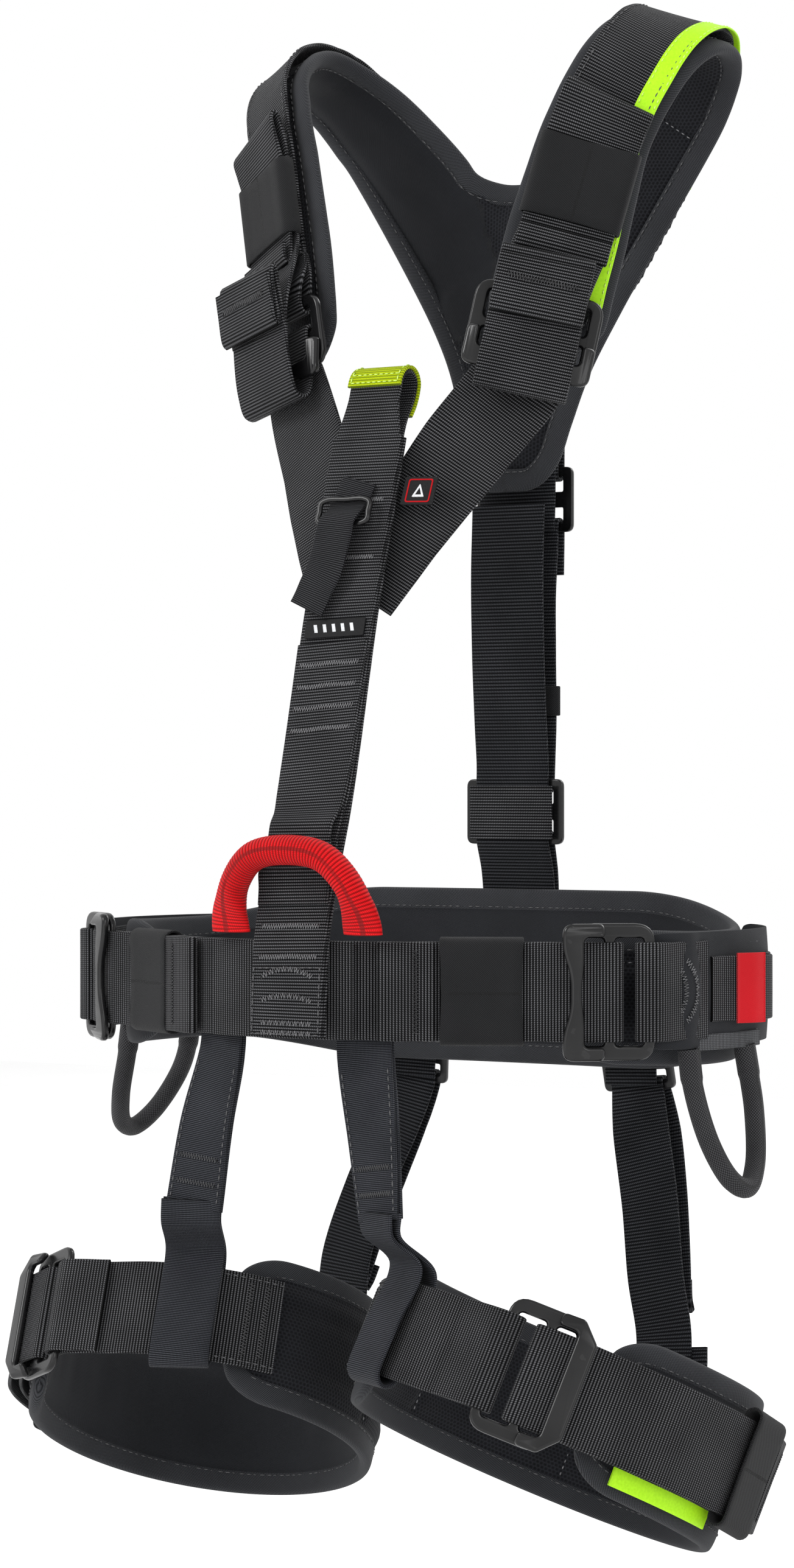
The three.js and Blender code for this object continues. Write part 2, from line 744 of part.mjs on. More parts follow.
function ladder(width, { length, slots, thick }, slotWidth) {
  const shape = roundedRectangle(-length / 2, length / 2, width / 2, 4);
  for (const [from, to] of slots) {
    shape.holes.push(roundedRectangle(from, to, slotWidth / 2, 1));
  }
  return extruded(shape, -thick / 2, thick / 2);
}

const BACKWARDS = [0, 1, 0];
const UP = [0, 0, 1];
mesh("back_strap", backStrap(), "webbing");
mesh("lumbar_strap", lumbarStrap(), "webbing");
mesh("yoke_web", yokeWeb(), "webbing");
for (const [name, at] of [["lumbar_buckle", BACK_BUCKLE], ["yoke_buckle", YOKE_BUCKLE]]) {
  const plate = ladder(WEB_BACK + 14, LADDER, WEB_BACK + 3);
  mesh(name, seated(plate, facing(at, BACKWARDS, UP)), "alloy");
}
const BACK_KEEPER = facing([0, 92.9, 136], BACKWARDS, UP);
mesh("back_keeper", seated(keeper(15, WEB_BACK, -1.6, 1.6), BACK_KEEPER), "elastic");

// ---- leg loops ----
const LEG_FROM = 66; // degrees round the thigh, from the outer side towards the back
const LEG_TO = -150;
const LEG_BUCKLE_AT = -66;
const LEG_KEEPER_AT = 6;
const RISER_AT = -118;

// A place on a leg loop: degrees round it, radius from its middle, and h up across its slope.
function legPoint([outer, back], degrees, radius, h = 0) {
  const [c, s] = [Math.cos(rad(degrees)), Math.sin(rad(degrees))];
  const [x, y, z] = LEG_CENTRE;
  const share = radius / LEG_RADIUS;
  const at = vec([x + radius * c, y + radius * s, z - (outer * c + back * s) * share]);
  return at.addScaledVector(legUp([outer, back]), h);
}

// Square to the loop's slope.
function legUp([outer, back]) {
  return vec([outer / LEG_RADIUS, back / LEG_RADIUS, 1]).normalize();
}

function legTrack(fall) {
  const points = [];
  for (let a = LEG_FROM; a >= LEG_TO; a -= 12) {
    points.push(legPoint(fall, a, LEG_RADIUS));
  }
  return new Track(points, legUp(fall).negate());
}

function legPlace(track, degrees) {
  return (track.length * (LEG_FROM - degrees)) / (LEG_FROM - LEG_TO);
}

function legPad(fall) {
  const [from, to] = [-50, 229];
  const route = Array.from({ length: 15 }, (_, i) => {
    const degrees = from + ((to - from) * i) / 14;
    return { at: legPoint(fall, degrees, LEG_RADIUS - ON_PAD - 0.1), side: legUp(fall) };
  });
  return band(stations(route, 2), (t) => {
    const high = LEG_PAD_HEIGHT + 6 * Math.sin(Math.PI * t);
    return padSection(high * roundEnd(Math.min(t, 1 - t) / 0.06), PAD_THICK);
  });
}

function legStrap(track) {
  const s = (degrees) => legPlace(track, degrees);
  const at = s(LEG_BUCKLE_AT);
  const before = [56, 40, 20, 5, -12, -28, -44].map((a) => track.on(s(a), 0));
  const after = [track.on(at - 26, 5.4), ...[-30, -12, 4, 18].map((a) => track.on(s(a), 6))];
  return strap([...before, ...turnBack(track, at), ...after, ...stopper(track, s(26), 6, -2.5)]);
}

function legSewnWeb(track) {
  const s = (degrees) => legPlace(track, degrees);
  const inner = [-108, -120, -134, -146].map((a) => track.on(s(a), 0));
  return strap([...sewnEnd(track, s(LEG_BUCKLE_AT)).slice(1), ...inner]);
}

// Doubled webbing that hangs behind the belt's front strap, down to the seam where its loop begins.
const RISER_SEAM = [52.5, -122.5, -108];
function legRiser() {
  const belt = WAIST.frame(41);
  const place = (p, turn, h) => {
    const side = vec([1, 0.5 - turn, 0]).normalize();
    const out = vec([side.y, -side.x, 0]);
    return { at: vec(p).addScaledVector(out, h), side };
  };
  const inside = belt.at.clone().addScaledVector(belt.out, -5.6);
  const line = [
    [inside.x, inside.y, -16],
    [inside.x + 0.2, inside.y - 0.2, -24],
    [inside.x + 0.8, inside.y - 0.8, -34],
    [46, -119.6, -64],
    [51.6, -122, RISER_SEAM[2] + 5.5],
  ];
  const turns = [0.23, 0.23, 0.3, 0.55, 0.8];
  return strap(line.map((p, i) => place(p, turns[i], 0)), { width: WEB_RISER, thick: 3.6 });
}

// The loop at the riser's foot, round the webbing of the leg loop.
function legHitch(fall) {
  const side = vec([0.88, -0.47, 0]);
  const around = ([h, up]) => ({ at: legPoint(fall, RISER_AT, LEG_RADIUS + h, up), side });
  const half = WEB_WIDE / 2;
  const [x, y, z] = RISER_SEAM;
  const wrap = [
    [4.4, half + 6], [4.6, 0], [4.2, -half - 1], [0, -half - 4.2],
    [-4.2, -half - 1], [-4.6, 0], [-3.2, half + 6],
  ];
  const start = { at: vec([x - 0.8, y - 1.6, z - 0.5]), side };
  const end = { at: vec([x + 0.8, y + 1.4, z - 0.5]), side };
  return strap([start, ...wrap.map(around), end], { width: WEB_RISER });
}

// The strap that holds each leg loop up behind, adjusted by a small ladder under the belt.
const REAR_BUCKLE = facing([66, 96, -47], [0.05, 1, 0.12], [-0.1, -0.12, 1]);
const REAR_LADDER = { length: 24, slots: [[2, 8], [-8, -2]], thick: 2.6 };
const REAR_TURN = [[-3.1, 11], [-2.8, 7.3], [0, 6.1], [2.8, 7.3], [3.1, 11]];

function rearFold(way) {
  return REAR_TURN.map(([h, u]) => near(REAR_BUCKLE, way * u, h));
}

function rearStrap(fall) {
  const foot = legPoint(fall, 90, LEG_RADIUS, LEG_PAD_HEIGHT / 2 + 6);
  const places = [
    [foot.x, foot.y - 2, foot.z],
    [foot.x - 2, foot.y + 4, foot.z + 20],
    [88, 64, -148],
    [79, 79, -110],
    [71, 90, -78],
  ].map((p, i) => ({ at: vec(p), side: vec([1, 0.02 * i, 0]).normalize() }));
  const tail = [
    [73.5, 99, -80],
    [80, 89, -108],
    [88, 73, -142],
    [92, 65, -164],
  ].map((p) => ({ at: vec(p), side: vec([1, 0.1, 0]).normalize() }));
  return strap([...places, ...rearFold(-1), ...tail], { width: WEB_NARROW });
}

function rearHanger() {
  const inner = [[63, 98.8, 14], [63.4, 98.6, -6], [64.2, 97.2, -24]];
  const outer = [[64.6, 101.6, -24], [64.2, 102.4, -8]];
  const side = vec([1, -0.12, 0]).normalize();
  const place = (p) => ({ at: vec(p), side });
  return strap([...inner.map(place), ...rearFold(1), ...outer.map(place)], { width: WEB_NARROW });
}

for (const [side, group] of SIDES) {
  const fall = LEG_FALL[side];
  const track = legTrack(fall);
  const buckle = track.frame(legPlace(track, LEG_BUCKLE_AT));
  mesh(`leg_pad_${side}`, legPad(fall), "pad", group);
  mesh(`leg_strap_${side}`, legStrap(track), "webbing", group);
  mesh(`leg_web_${side}`, legSewnWeb(track), "webbing", group);
  mesh(`leg_buckle_${side}`, seated(adjusterPlate(), buckle), "alloy", group);
  mesh(`leg_slider_${side}`, seated(adjusterSlider(), buckle), "alloy", group);
  const sleeve = keeper(26, WEB_WIDE, 3, 8.6);
  mesh(`leg_keeper_${side}`, seated(sleeve, track.frame(legPlace(track, LEG_KEEPER_AT))), "elastic", group);
  mesh(`leg_riser_${side}`, legRiser(), "webbing", group);
  mesh(`leg_hitch_${side}`, legHitch(fall), "webbing", group);
  mesh(`rear_strap_${side}`, rearStrap(fall), "webbing", group);
  mesh(`rear_hanger_${side}`, rearHanger(), "webbing", group);
  const small = ladder(WEB_NARROW + 11, REAR_LADDER, WEB_NARROW + 3);
  mesh(`rear_buckle_${side}`, seated(small, REAR_BUCKLE), "plastic", group);
}

// A small folded tag sewn to the left shoulder strap.
const TAG = facing([31, -55, 232], [0.1, -0.9, 0.4], [0, 0.3, 1]);
mesh("marker_tag", seated(new THREE.BoxGeometry(17, 15, 0.8), TAG), "label");

export default harness;
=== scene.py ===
"""Looks for a full body work harness: webbing, padded parts, adjusters, cord, stitching, light and camera.

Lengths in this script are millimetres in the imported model's own frame; meshes are made in metres.
"""
import math

import bpy
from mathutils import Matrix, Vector, noise
from mathutils.kdtree import KDTree


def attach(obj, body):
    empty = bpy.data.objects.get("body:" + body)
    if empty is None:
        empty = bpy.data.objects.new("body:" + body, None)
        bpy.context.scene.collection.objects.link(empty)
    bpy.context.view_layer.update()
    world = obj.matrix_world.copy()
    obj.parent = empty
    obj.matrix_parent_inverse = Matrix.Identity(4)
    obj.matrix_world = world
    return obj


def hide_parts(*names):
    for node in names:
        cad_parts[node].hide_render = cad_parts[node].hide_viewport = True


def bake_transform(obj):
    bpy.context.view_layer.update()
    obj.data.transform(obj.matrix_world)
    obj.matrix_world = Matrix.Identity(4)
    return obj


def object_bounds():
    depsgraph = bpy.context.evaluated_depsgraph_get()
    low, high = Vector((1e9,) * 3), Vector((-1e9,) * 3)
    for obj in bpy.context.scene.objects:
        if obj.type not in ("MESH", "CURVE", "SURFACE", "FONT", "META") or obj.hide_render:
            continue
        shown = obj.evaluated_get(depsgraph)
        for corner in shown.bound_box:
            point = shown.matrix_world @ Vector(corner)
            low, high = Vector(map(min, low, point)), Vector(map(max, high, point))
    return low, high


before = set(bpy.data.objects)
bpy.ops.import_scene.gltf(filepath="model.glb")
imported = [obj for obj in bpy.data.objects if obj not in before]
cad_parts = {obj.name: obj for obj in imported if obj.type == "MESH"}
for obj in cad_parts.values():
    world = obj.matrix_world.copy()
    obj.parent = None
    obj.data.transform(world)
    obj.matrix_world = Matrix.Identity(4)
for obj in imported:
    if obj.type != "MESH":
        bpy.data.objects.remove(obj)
cad_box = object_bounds()

MM = 0.001
WEB_WIDE, WEB_NARROW, WEB_RISER, WEB_BACK = 45.0, 30.0, 28.0, 42.0
WEB_THICK, PAD_THICK, LAYER = 2.0, 12.0, 3.0
BELT_BACK, BELT_SIDE = 88.0, 62.0
LEG_RADIUS, LEG_CENTRE, LEG_PAD_HEIGHT = 89.0, (98.0, -42.0, -194.0), 70.0
LEG_FALL = {"left": (20, 37), "right": (11, 41)}
ON_PAD = PAD_THICK / 2 + 2.1
THREAD_RADIUS, SLEEVE_WALL = 0.4, 1.3
CLOTH_FRAMES, PAD_SWELL, YOKE_SWELL = 12, 2.6, 2.2
SIDES = (("left", 1), ("right", -1))


# ---- vectors and tracks ----
def smooth(x, low, high):
    x = min(max((x - low) / (high - low), 0.0), 1.0)
    return x * x * (3 - 2 * x)


def mix(a, b, t):
    return a + (b - a) * t


class Spline:
    """A centripetal Catmull-Rom curve through points."""

    def __init__(self, points):
        self.points = [Vector(p) for p in points]
        self.table = None

    def at(self, t):
        last = len(self.points) - 1
        p = min(max(t, 0.0), 1.0) * last
        i = min(int(p), last - 1)
        w = p - i
        p1, p2 = self.points[i], self.points[i + 1]
        p0 = self.points[i - 1] if i > 0 else p1 * 2 - p2
        p3 = self.points[i + 2] if i + 2 <= last else p2 * 2 - p1
        d = [max((b - a).length_squared, 1e-9) ** 0.25 for a, b in ((p0, p1), (p1, p2), (p2, p3))]
        a = ((p1 - p0) / d[0] - (p2 - p0) / (d[0] + d[1]) + (p2 - p1) / d[1]) * d[1]
        b = ((p2 - p1) / d[1] - (p3 - p1) / (d[1] + d[2]) + (p3 - p2) / d[2]) * d[1]
        return p1 + a * w + (p1 * -3 + p2 * 3 - a * 2 - b) * w ** 2 + (p1 * 2 - p2 * 2 + a + b) * w ** 3

    def tangent(self, t):
        return (self.at(min(t + 1e-4, 1)) - self.at(max(t - 1e-4, 0))).normalized()

    def share(self, s):
        """The parameter at length s."""
        if self.table is None:
            places = [self.at(i / 400) for i in range(401)]
            self.table = [0.0]
            for a, b in zip(places, places[1:]):
                self.table.append(self.table[-1] + (b - a).length)
        s = min(max(s, 0.0), self.table[-1])
        low, high = 0, 400
        while high - low > 1:
            middle = (low + high) // 2
            low, high = (middle, high) if self.table[middle] <= s else (low, middle)
        step = self.table[high] - self.table[low]
        return (low + (s - self.table[low]) / step) / 400

    def length(self):
        self.share(0)
        return self.table[-1]


class Frame:
    """A place with three square directions: along a strap, across it, and out from the body."""

    def __init__(self, at, along, side):
        self.at = Vector(at)
        self.along = Vector(along).normalized()
        self.out = self.along.cross(Vector(side)).normalized()
        self.side = self.out.cross(self.along).normalized()

    def point(self, u, w, h):
        return self.at + self.along * u + self.side * w + self.out * h

    def near(self, u, h):
        return self.point(u, 0, h), self.side.copy()


class Track:
    """A line that straps follow, with the direction across them at each of its points."""

    def __init__(self, points, sides):
        self.line = Spline(points)
        many = isinstance(sides, list)
        self.sides = [Vector(s) for s in sides] if many else [Vector(sides)] * len(points)
        self.length = self.line.length()

    def frame(self, s):
        t = self.line.share(s)
        p = t * (len(self.sides) - 1)
        i = min(int(p), len(self.sides) - 2)
        return Frame(self.line.at(t), self.line.tangent(t), self.sides[i].lerp(self.sides[i + 1], p - i))

    def on(self, s, h=0.0):
        """The place at length s, lifted by h, and the direction across."""
        f = self.frame(s)
        return f.at + f.out * h, f.side


def facing(at, out, along):
    """A frame given by where it looks and which way it runs."""
    out = Vector(out).normalized()
    side = out.cross(Vector(along)).normalized()
    return Frame(at, side.cross(out), side)


def turned(v, way):
    """A point or direction of the left half, taken to the half that `way` stands for: 1 left, -1 right."""
    return Vector((way * v.x, v.y, v.z))


def on_half(f, way):
    """A frame of the left half, taken to either half."""
    if way > 0:
        return f
    made = Frame(turned(f.at, way), turned(f.along, way), turned(f.side, way))
    made.out = turned(f.out, way)
    return made


def swap(route, way):
    """A route of the left half, taken to either half."""
    return [(turned(p, way), turned(s, way)) for p, s in route]


def along(side, *points):
    """A route through points that keeps one direction across."""
    return [(Vector(p), side) for p in points]


# ---- meshes ----
def make(name, verts, faces, materials, body, nodes=(), slot=None, uvs=None, picks=None, smoothed=True):
    """A mesh object from millimetre points, riding on a body."""
    mesh = bpy.data.meshes.new(name)
    mesh.from_pydata([tuple(c * MM for c in v) for v in verts], [], faces)
    if uvs:
        layer = mesh.uv_layers.new(name="strap")
        for loop in mesh.loops:
            layer.data[loop.index].uv = uvs[loop.vertex_index]
    for material in materials if isinstance(materials, (list, tuple)) else [materials]:
        mesh.materials.append(material)
    if picks:
        mesh.polygons.foreach_set("material_index", picks)
    mesh.polygons.foreach_set("use_smooth", [smoothed] * len(mesh.polygons))
    mesh.update()
    made = bpy.data.objects.new(name, mesh)
    bpy.context.scene.collection.objects.link(made)
    if body:
        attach(made, body)
    if nodes:
        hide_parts(*nodes)
    return made


class Band:
    """Stations along a route of (point, side) pairs, about `step` apart."""

    def __init__(self, route, step=2.0, closed=False):
        points = [p for p, _ in route]
        sides = [s for _, s in route]
        self.closed = closed
        if closed:
            points = points[-2:] + points + points[:3]
            sides = sides[-2:] + sides + sides[:3]
        line = Spline(points)
        count = len(points) - 1
        spans = range(2, count - 2) if closed else range(count)
        self.frames, self.s = [], []
        travelled = 0.0
        for i in spans:
            parts = max(1, math.ceil((points[i + 1] - points[i]).length / step))
            for j in range(parts):
                self.add(line, sides, i + j / parts, count)
        if not closed:
            self.add(line, sides, count, count)
        for i, f in enumerate(self.frames):
            if i:
                travelled += (f.at - self.frames[i - 1].at).length
            self.s.append(travelled)
        self.length = travelled

    def add(self, line, sides, p, count):
        i = min(int(p), count - 1)
        t = p / count
        self.frames.append(Frame(line.at(t), line.tangent(t), sides[i].lerp(sides[i + 1], p - i)))

    def where(self, p):
        """The length along the band of the station nearest to a point."""
        p = Vector(p)
        return min(zip(self.s, self.frames), key=lambda item: (item[1].at - p).length)[0]

    def frame(self, s):
        i = 0
        while i + 2 < len(self.s) and self.s[i + 1] < s:
            i += 1
        a, b = self.frames[i], self.frames[i + 1]
        t = (s - self.s[i]) / max(self.s[i + 1] - self.s[i], 1e-6)
        return Frame(a.at.lerp(b.at, t), a.along.lerp(b.along, t), a.side.lerp(b.side, t))


def sweep(band, section, closed_ends=True):
    """Rings of `section(s, share)` points, each (across, out), along a band. Gives verts, faces and uvs."""
    verts, faces, uvs = [], [], []
    rings = len(band.frames)
    for i, (f, s) in enumerate(zip(band.frames, band.s)):
        ring = section(s, i / (rings - 1))
        size = len(ring)
        for w, h in ring:
            verts.append(f.point(0, w, h))
            uvs.append((s * MM, w * MM))
    count = rings if band.closed else rings - 1
    for i in range(count):
        j = (i + 1) % rings
        for k in range(size):
            m = (k + 1) % size
            faces.append((i * size + k, j * size + k, j * size + m, i * size + m))
    if closed_ends and not band.closed:
        faces.append(tuple(reversed(range(size))))
        faces.append(tuple((rings - 1) * size + k for k in range(size)))
    return verts, outward(verts, faces), uvs, size


def outward(verts, faces):
    volume = 0.0
    for f in faces:
        for i in range(1, len(f) - 1):
            volume += verts[f[0]].dot(verts[f[i]].cross(verts[f[i + 1]]))
    return faces if volume > 0 else [tuple(reversed(f)) for f in faces]


def strip(width, thick, across=8, cup=0.0):
    """The section of a piece of webbing, with rolled edges."""
    w, h = width / 2, thick / 2
    top = []
    for i in range(across + 1):
        share = i / across * 2 - 1
        x = (w - h * 0.7) * share
        top.append((x, cup * (1 - share * share)))
    upper = [(x, h + c) for x, c in top]
    lower = [(x, -h + c) for x, c in reversed(top)]
    right = [(w - h * 0.2, h * 0.62), (w, 0.0), (w - h * 0.2, -h * 0.62)]
    left = [(-w + h * 0.2, -h * 0.62), (-w, 0.0), (-w + h * 0.2, h * 0.62)]
    return upper + right + lower + left


def round_uvs(band, size, girth):
    """Lengths along and round a cord, for rings of `size` points."""
    return [(s * MM, k / size * girth * MM) for s in band.s for k in range(size)]


def oval(wide, deep, count):
    """The section of a cord or wire."""
    turns = [2 * math.pi * k / count for k in range(count)]
    return [(wide * math.cos(a), deep * math.sin(a)) for a in turns]


def webbing(name, route, body, nodes=(), material=None, width=WEB_WIDE, thick=WEB_THICK, closed=False,
            step=2.0, slot="webbing", seed=0.0, ripple=0.25, across=8, pinch=None):
    """A strap laid along a route, slightly uneven as real webbing is."""
    band = Band(route, step, closed)

    def section(s, share):
        wave = ripple * noise.noise(Vector((s / 19, seed, 0.0)))
        wide = width * (1 + 0.006 * noise.noise(Vector((s / 31, seed + 5, 0.0))))
        if pinch:
            wide *= pinch(s, share)
        if closed:
            wave = 0.0
        return strip(wide, thick, across, wave)

    verts, faces, uvs, _ = sweep(band, section)
    band.thick = thick
    band.object = make(name, verts, faces, material or MAT["webbing"], body, nodes, slot, uvs)
    return band


class Threads:
    """Sewing thread that shows on one body: bar tacks and running stitches, as fine tubes."""

    def __init__(self, name, body, material, radius=THREAD_RADIUS):
        self.name, self.body, self.material, self.radius = name, body, material, radius
        self.verts, self.faces = [], []

    def tube(self, points, radius=None, sides=4):
        radius = radius or self.radius
        start = len(self.verts)
        last = len(points) - 1
        for i, p in enumerate(points):
            along = (points[min(i + 1, last)] - points[max(i - 1, 0)]).normalized()
            a = along.orthogonal().normalized()
            b = along.cross(a)
            r = radius * (0.5 if i in (0, last) else 1.0)
            for k in range(sides):
                angle = 2 * math.pi * k / sides
                self.verts.append(p + a * (r * math.cos(angle)) + b * (r * math.sin(angle)))
        for i in range(last):
            for k in range(sides):
                m = (k + 1) % sides
                a, b = start + i * sides, start + (i + 1) * sides
                self.faces.append((a + k, a + m, b + m, b + k))
        self.faces.append(tuple(start + k for k in reversed(range(sides))))
        self.faces.append(tuple(start + last * sides + k for k in range(sides)))

    def tack(self, place, u0, w0, u1, w1, pitch=1.5, wide=2.6, sway=0.0):
        """A zigzag bar between two places (u along, w across), given by place(u, w)."""
        length = math.hypot(u1 - u0, w1 - w0)
        du, dw = (u1 - u0) / length, (w1 - w0) / length
        count = int(length / pitch * 2)
        points = []
        for i in range(count + 1):
            d = length * i / count
            off = (wide / 2) * (1 if i % 2 else -1) + sway * math.sin(d / 3.1)
            points.append(place(u0 + du * d - dw * off, w0 + dw * d + du * off))
        self.tube(points, sides=3)

    def dashes(self, place, path, stitch=2.6, gap=1.3):
        """A running stitch along a path of (u, w) places."""
        d = 0.0
        for (u0, w0), (u1, w1) in zip(path, path[1:]):
            length = math.hypot(u1 - u0, w1 - w0)
            while d < length:
                ends = [min(d + stitch * k / 2, length) / length for k in range(3)]
                self.tube([place(mix(u0, u1, e), mix(w0, w1, e)) for e in ends], sides=4)
                d += stitch + gap
            d -= length

    def finish(self, slot="webbing"):
        if self.verts:
            make(self.name, self.verts, self.faces, self.material, self.body, slot=slot)


def straight(start, end, w, count):
    """A path of (u, w) places at one distance across."""
    return [(mix(start, end, k / count), w) for k in range(count + 1)]


def outer_face(band):
    """place(s, w) on the face of a band that looks away from the body's axis."""
    def place(s, w):
        f = band.frame(s)
        sign = 1 if f.out.dot(Vector((f.at.x, f.at.y, 0.0))) > 0 else -1
        return f.point(0, w, sign * (band.thick / 2 + 0.12))
    return place


# ---- materials ----
class Nodes:
    """Builds a node material a socket at a time."""

    def __init__(self, name):
        self.material = bpy.data.materials.new(name)
        self.material.use_nodes = True
        self.tree = self.material.node_tree
        self.surface = self.tree.nodes["Principled BSDF"]

    def add(self, kind, inputs=None, **settings):
        node = self.tree.nodes.new("ShaderNode" + kind)
        for key, value in settings.items():
            setattr(node, key, value)
        for key, value in (inputs or {}).items():
            if isinstance(value, bpy.types.NodeSocket):
                self.tree.links.new(value, node.inputs[key])
            else:
                node.inputs[key].default_value = value
        return node

    def math(self, operation, a, b=0.0):
        return self.add("Math", {0: a, 1: b}, operation=operation).outputs[0]

    def times(self, a, b):
        return self.math("MULTIPLY", a, b)

    def plus(self, a, b):
        return self.math("ADD", a, b)

    def ramp(self, value, stops):
        node = self.add("ValToRGB", {0: value})
        ramp = node.color_ramp
        while len(ramp.elements) < len(stops):
            ramp.elements.new(0.5)
        for element, (place, colour) in zip(ramp.elements, stops):
            element.position = place
            element.color = (*colour, 1.0) if isinstance(colour, tuple) else (colour, colour, colour, 1.0)
        return node.outputs[0]

    def noise(self, scale, detail=2.0, vector=None):
        vector = vector or self.add("TexCoord").outputs["Object"]
        return self.add("TexNoise", {"Vector": vector, "Scale": scale, "Detail": detail}).outputs[0]

    def strap(self):
        """Lengths along and across the strap, in millimetres."""
        uv = self.add("UVMap", uv_map="strap").outputs[0]
        split = self.add("SeparateXYZ", {0: uv})
        return [self.times(split.outputs[i], 1000.0) for i in (0, 1)]

    def wave(self, value, pitch, shift=0.0):
        """|sin| of a length, one hump for each pitch."""
        turn = self.plus(self.times(value, math.pi / pitch), shift)
        return self.math("ABSOLUTE", self.math("SINE", turn))

    def finish(self, colour, roughness, bump=None, depth=0.3, strength=1.0, **fixed):
        ports = self.surface.inputs
        for key, value in (("Base Color", colour), ("Roughness", roughness)):
            if isinstance(value, bpy.types.NodeSocket):
                self.tree.links.new(value, ports[key])
            else:
                ports[key].default_value = (*value, 1.0) if key == "Base Color" else value
        for key, value in fixed.items():
            ports[key.replace("_", " ")].default_value = value
        if bump is not None:
            inputs = {"Height": bump, "Distance": depth * MM, "Strength": strength}
            self.tree.links.new(self.add("Bump", inputs).outputs[0], ports["Normal"])
        return self.material


def webbing_material(name, dark, light, pitch=1.3, bead=0.9, depth=0.5, sheen=0.02, rough=0.55, gap=2.4):
    """Polyamide webbing: ribs across the strap, each a row of beads, the next row half a bead along. Its
    colour carries painted shade in the gaps and painted highlight on the rib and bead tops.
    """
    n = Nodes(name)
    u, v = n.strap()
    row = n.math("FLOOR", n.math("DIVIDE", u, pitch))
    rib = n.wave(u, pitch)
    slant = n.plus(v, n.times(u, 0.4))
    beads = n.wave(slant, bead, n.times(row, math.pi / 2))
    height = n.times(rib, n.plus(n.times(beads, 0.5), 0.5))
    wear = n.noise(38.0, 3.0)
    # Painted light: the colour follows the rib and bead height, with painted shade in the gaps, deepened by
    # the power gap, and painted highlight on the tops; the noise adds random wear.
    shaded_tone = n.times(n.math("POWER", height, gap), n.plus(n.times(wear, 1.0), 0.5))
    colour = n.ramp(shaded_tone, [(0.02, dark), (0.95, light)])
    roughness = n.plus(n.times(wear, 0.2), rough - 0.1)
    return n.finish(colour, roughness, height, depth, 1.0, Sheen_Weight=sheen, Sheen_Roughness=0.45,
                    Specular_IOR_Level=0.06)


def twill_material(name, dark, light, pitch=0.95, depth=0.22, sheen=0.06):
    """Elastic and binding tape: a fine diagonal weave, its colour with painted shade in the hollows and
    painted highlight on the tops.
    """
    n = Nodes(name)
    u, v = n.strap()
    slant = n.wave(n.plus(u, n.times(v, 0.8)), pitch)
    cross = n.wave(n.math("SUBTRACT", v, n.times(u, 0.35)), pitch * 0.8)
    height = n.times(slant, n.plus(n.times(cross, 0.5), 0.5))
    wear = n.noise(30.0, 3.0)
    # Painted light: the colour follows the weave height, with painted shade in its hollows and painted
    # highlight on its tops; the noise adds random wear.
    shaded_tone = n.times(height, n.plus(n.times(wear, 0.8), 0.5))
    colour = n.ramp(shaded_tone, [(0.05, dark), (1.0, light)])
    return n.finish(colour, n.plus(n.times(wear, 0.16), 0.7), height, depth, 0.8,
                    Sheen_Weight=sheen, Sheen_Roughness=0.5, Specular_IOR_Level=0.12)


def mesh_material(name, dark, light):
    """Spacer-mesh lining: rows of small dimples, with painted shade in the dimples."""
    n = Nodes(name)
    u, v = n.strap()
    row = n.math("FLOOR", n.math("DIVIDE", v, 1.7))
    a = n.wave(u, 2.1, n.times(row, math.pi / 2))
    b = n.wave(v, 1.7)
    dimple = n.math("POWER", n.times(a, b), 0.7)
    cloud = n.noise(60.0, 4.0)
    raised = n.times(n.math("SUBTRACT", 1.0, dimple), 0.65)
    # Painted light: the colour is darkest in the dimples, painted shade in the hollows; the cloud noise adds
    # random tone.
    shaded_tone = n.plus(raised, n.times(cloud, 0.35))
    colour = n.ramp(shaded_tone, [(0.15, dark), (0.9, light)])
    return n.finish(colour, n.plus(n.times(cloud, 0.1), 0.8), dimple, 0.4, 0.7,
                    Sheen_Weight=0.05, Sheen_Roughness=0.6, Specular_IOR_Level=0.08)


def cord_material(name, dark, light):
    """A braided sheath: crossing rows of plaits, with painted shade between them and painted highlight on
    their crowns.
    """
    n = Nodes(name)
    u, v = n.strap()
    a = n.wave(n.plus(u, n.times(v, 1.15)), 1.5)
    b = n.wave(n.math("SUBTRACT", u, n.times(v, 1.15)), 1.5)
    height = n.math("MAXIMUM", n.math("POWER", a, 1.5), n.math("POWER", b, 1.5))
    wear = n.noise(45.0, 2.0)
    # Painted light: the colour is lightest where the plaits cross on top and dark between them, painted
    # highlight and painted shade; the noise adds random wear.
    shaded_tone = n.times(n.times(a, b), n.plus(wear, 0.4))
    colour = n.ramp(shaded_tone, [(0.0, dark), (0.85, light)])
    return n.finish(colour, 0.66, height, 0.35, 0.9, Sheen_Weight=0.05, Sheen_Roughness=0.4,
                    Specular_IOR_Level=0.2)


def alloy_material(name, colour, metallic, rough):
    """Anodised or polished plate, with faint handling marks."""
    n = Nodes(name)
    broad = n.noise(25.0, 3.0)
    fine = n.noise(420.0, 2.0)
    worn = n.math("GREATER_THAN", n.noise(150.0, 6.0), 0.69)
    light = tuple(min(1.0, c * 2.6 + 0.02) for c in colour)
    shade = n.ramp(n.plus(n.times(broad, 0.7), n.times(worn, 0.25)),
                   [(0.2, colour), (1.0, light)])
    roughness = n.plus(n.times(broad, 0.16), rough)
    return n.finish(shade, roughness, fine, 0.012, 0.5, Metallic=metallic, Coat_Weight=0.12,
                    Coat_Roughness=0.1, Specular_IOR_Level=0.3)


def plain_material(name, dark, light, rough, scale=300.0, depth=0.08, **more):
    n = Nodes(name)
    grain = n.noise(scale, 4.0)
    return n.finish(n.ramp(grain, [(0.25, dark), (0.8, light)]), rough, grain, depth, 0.7, **more)
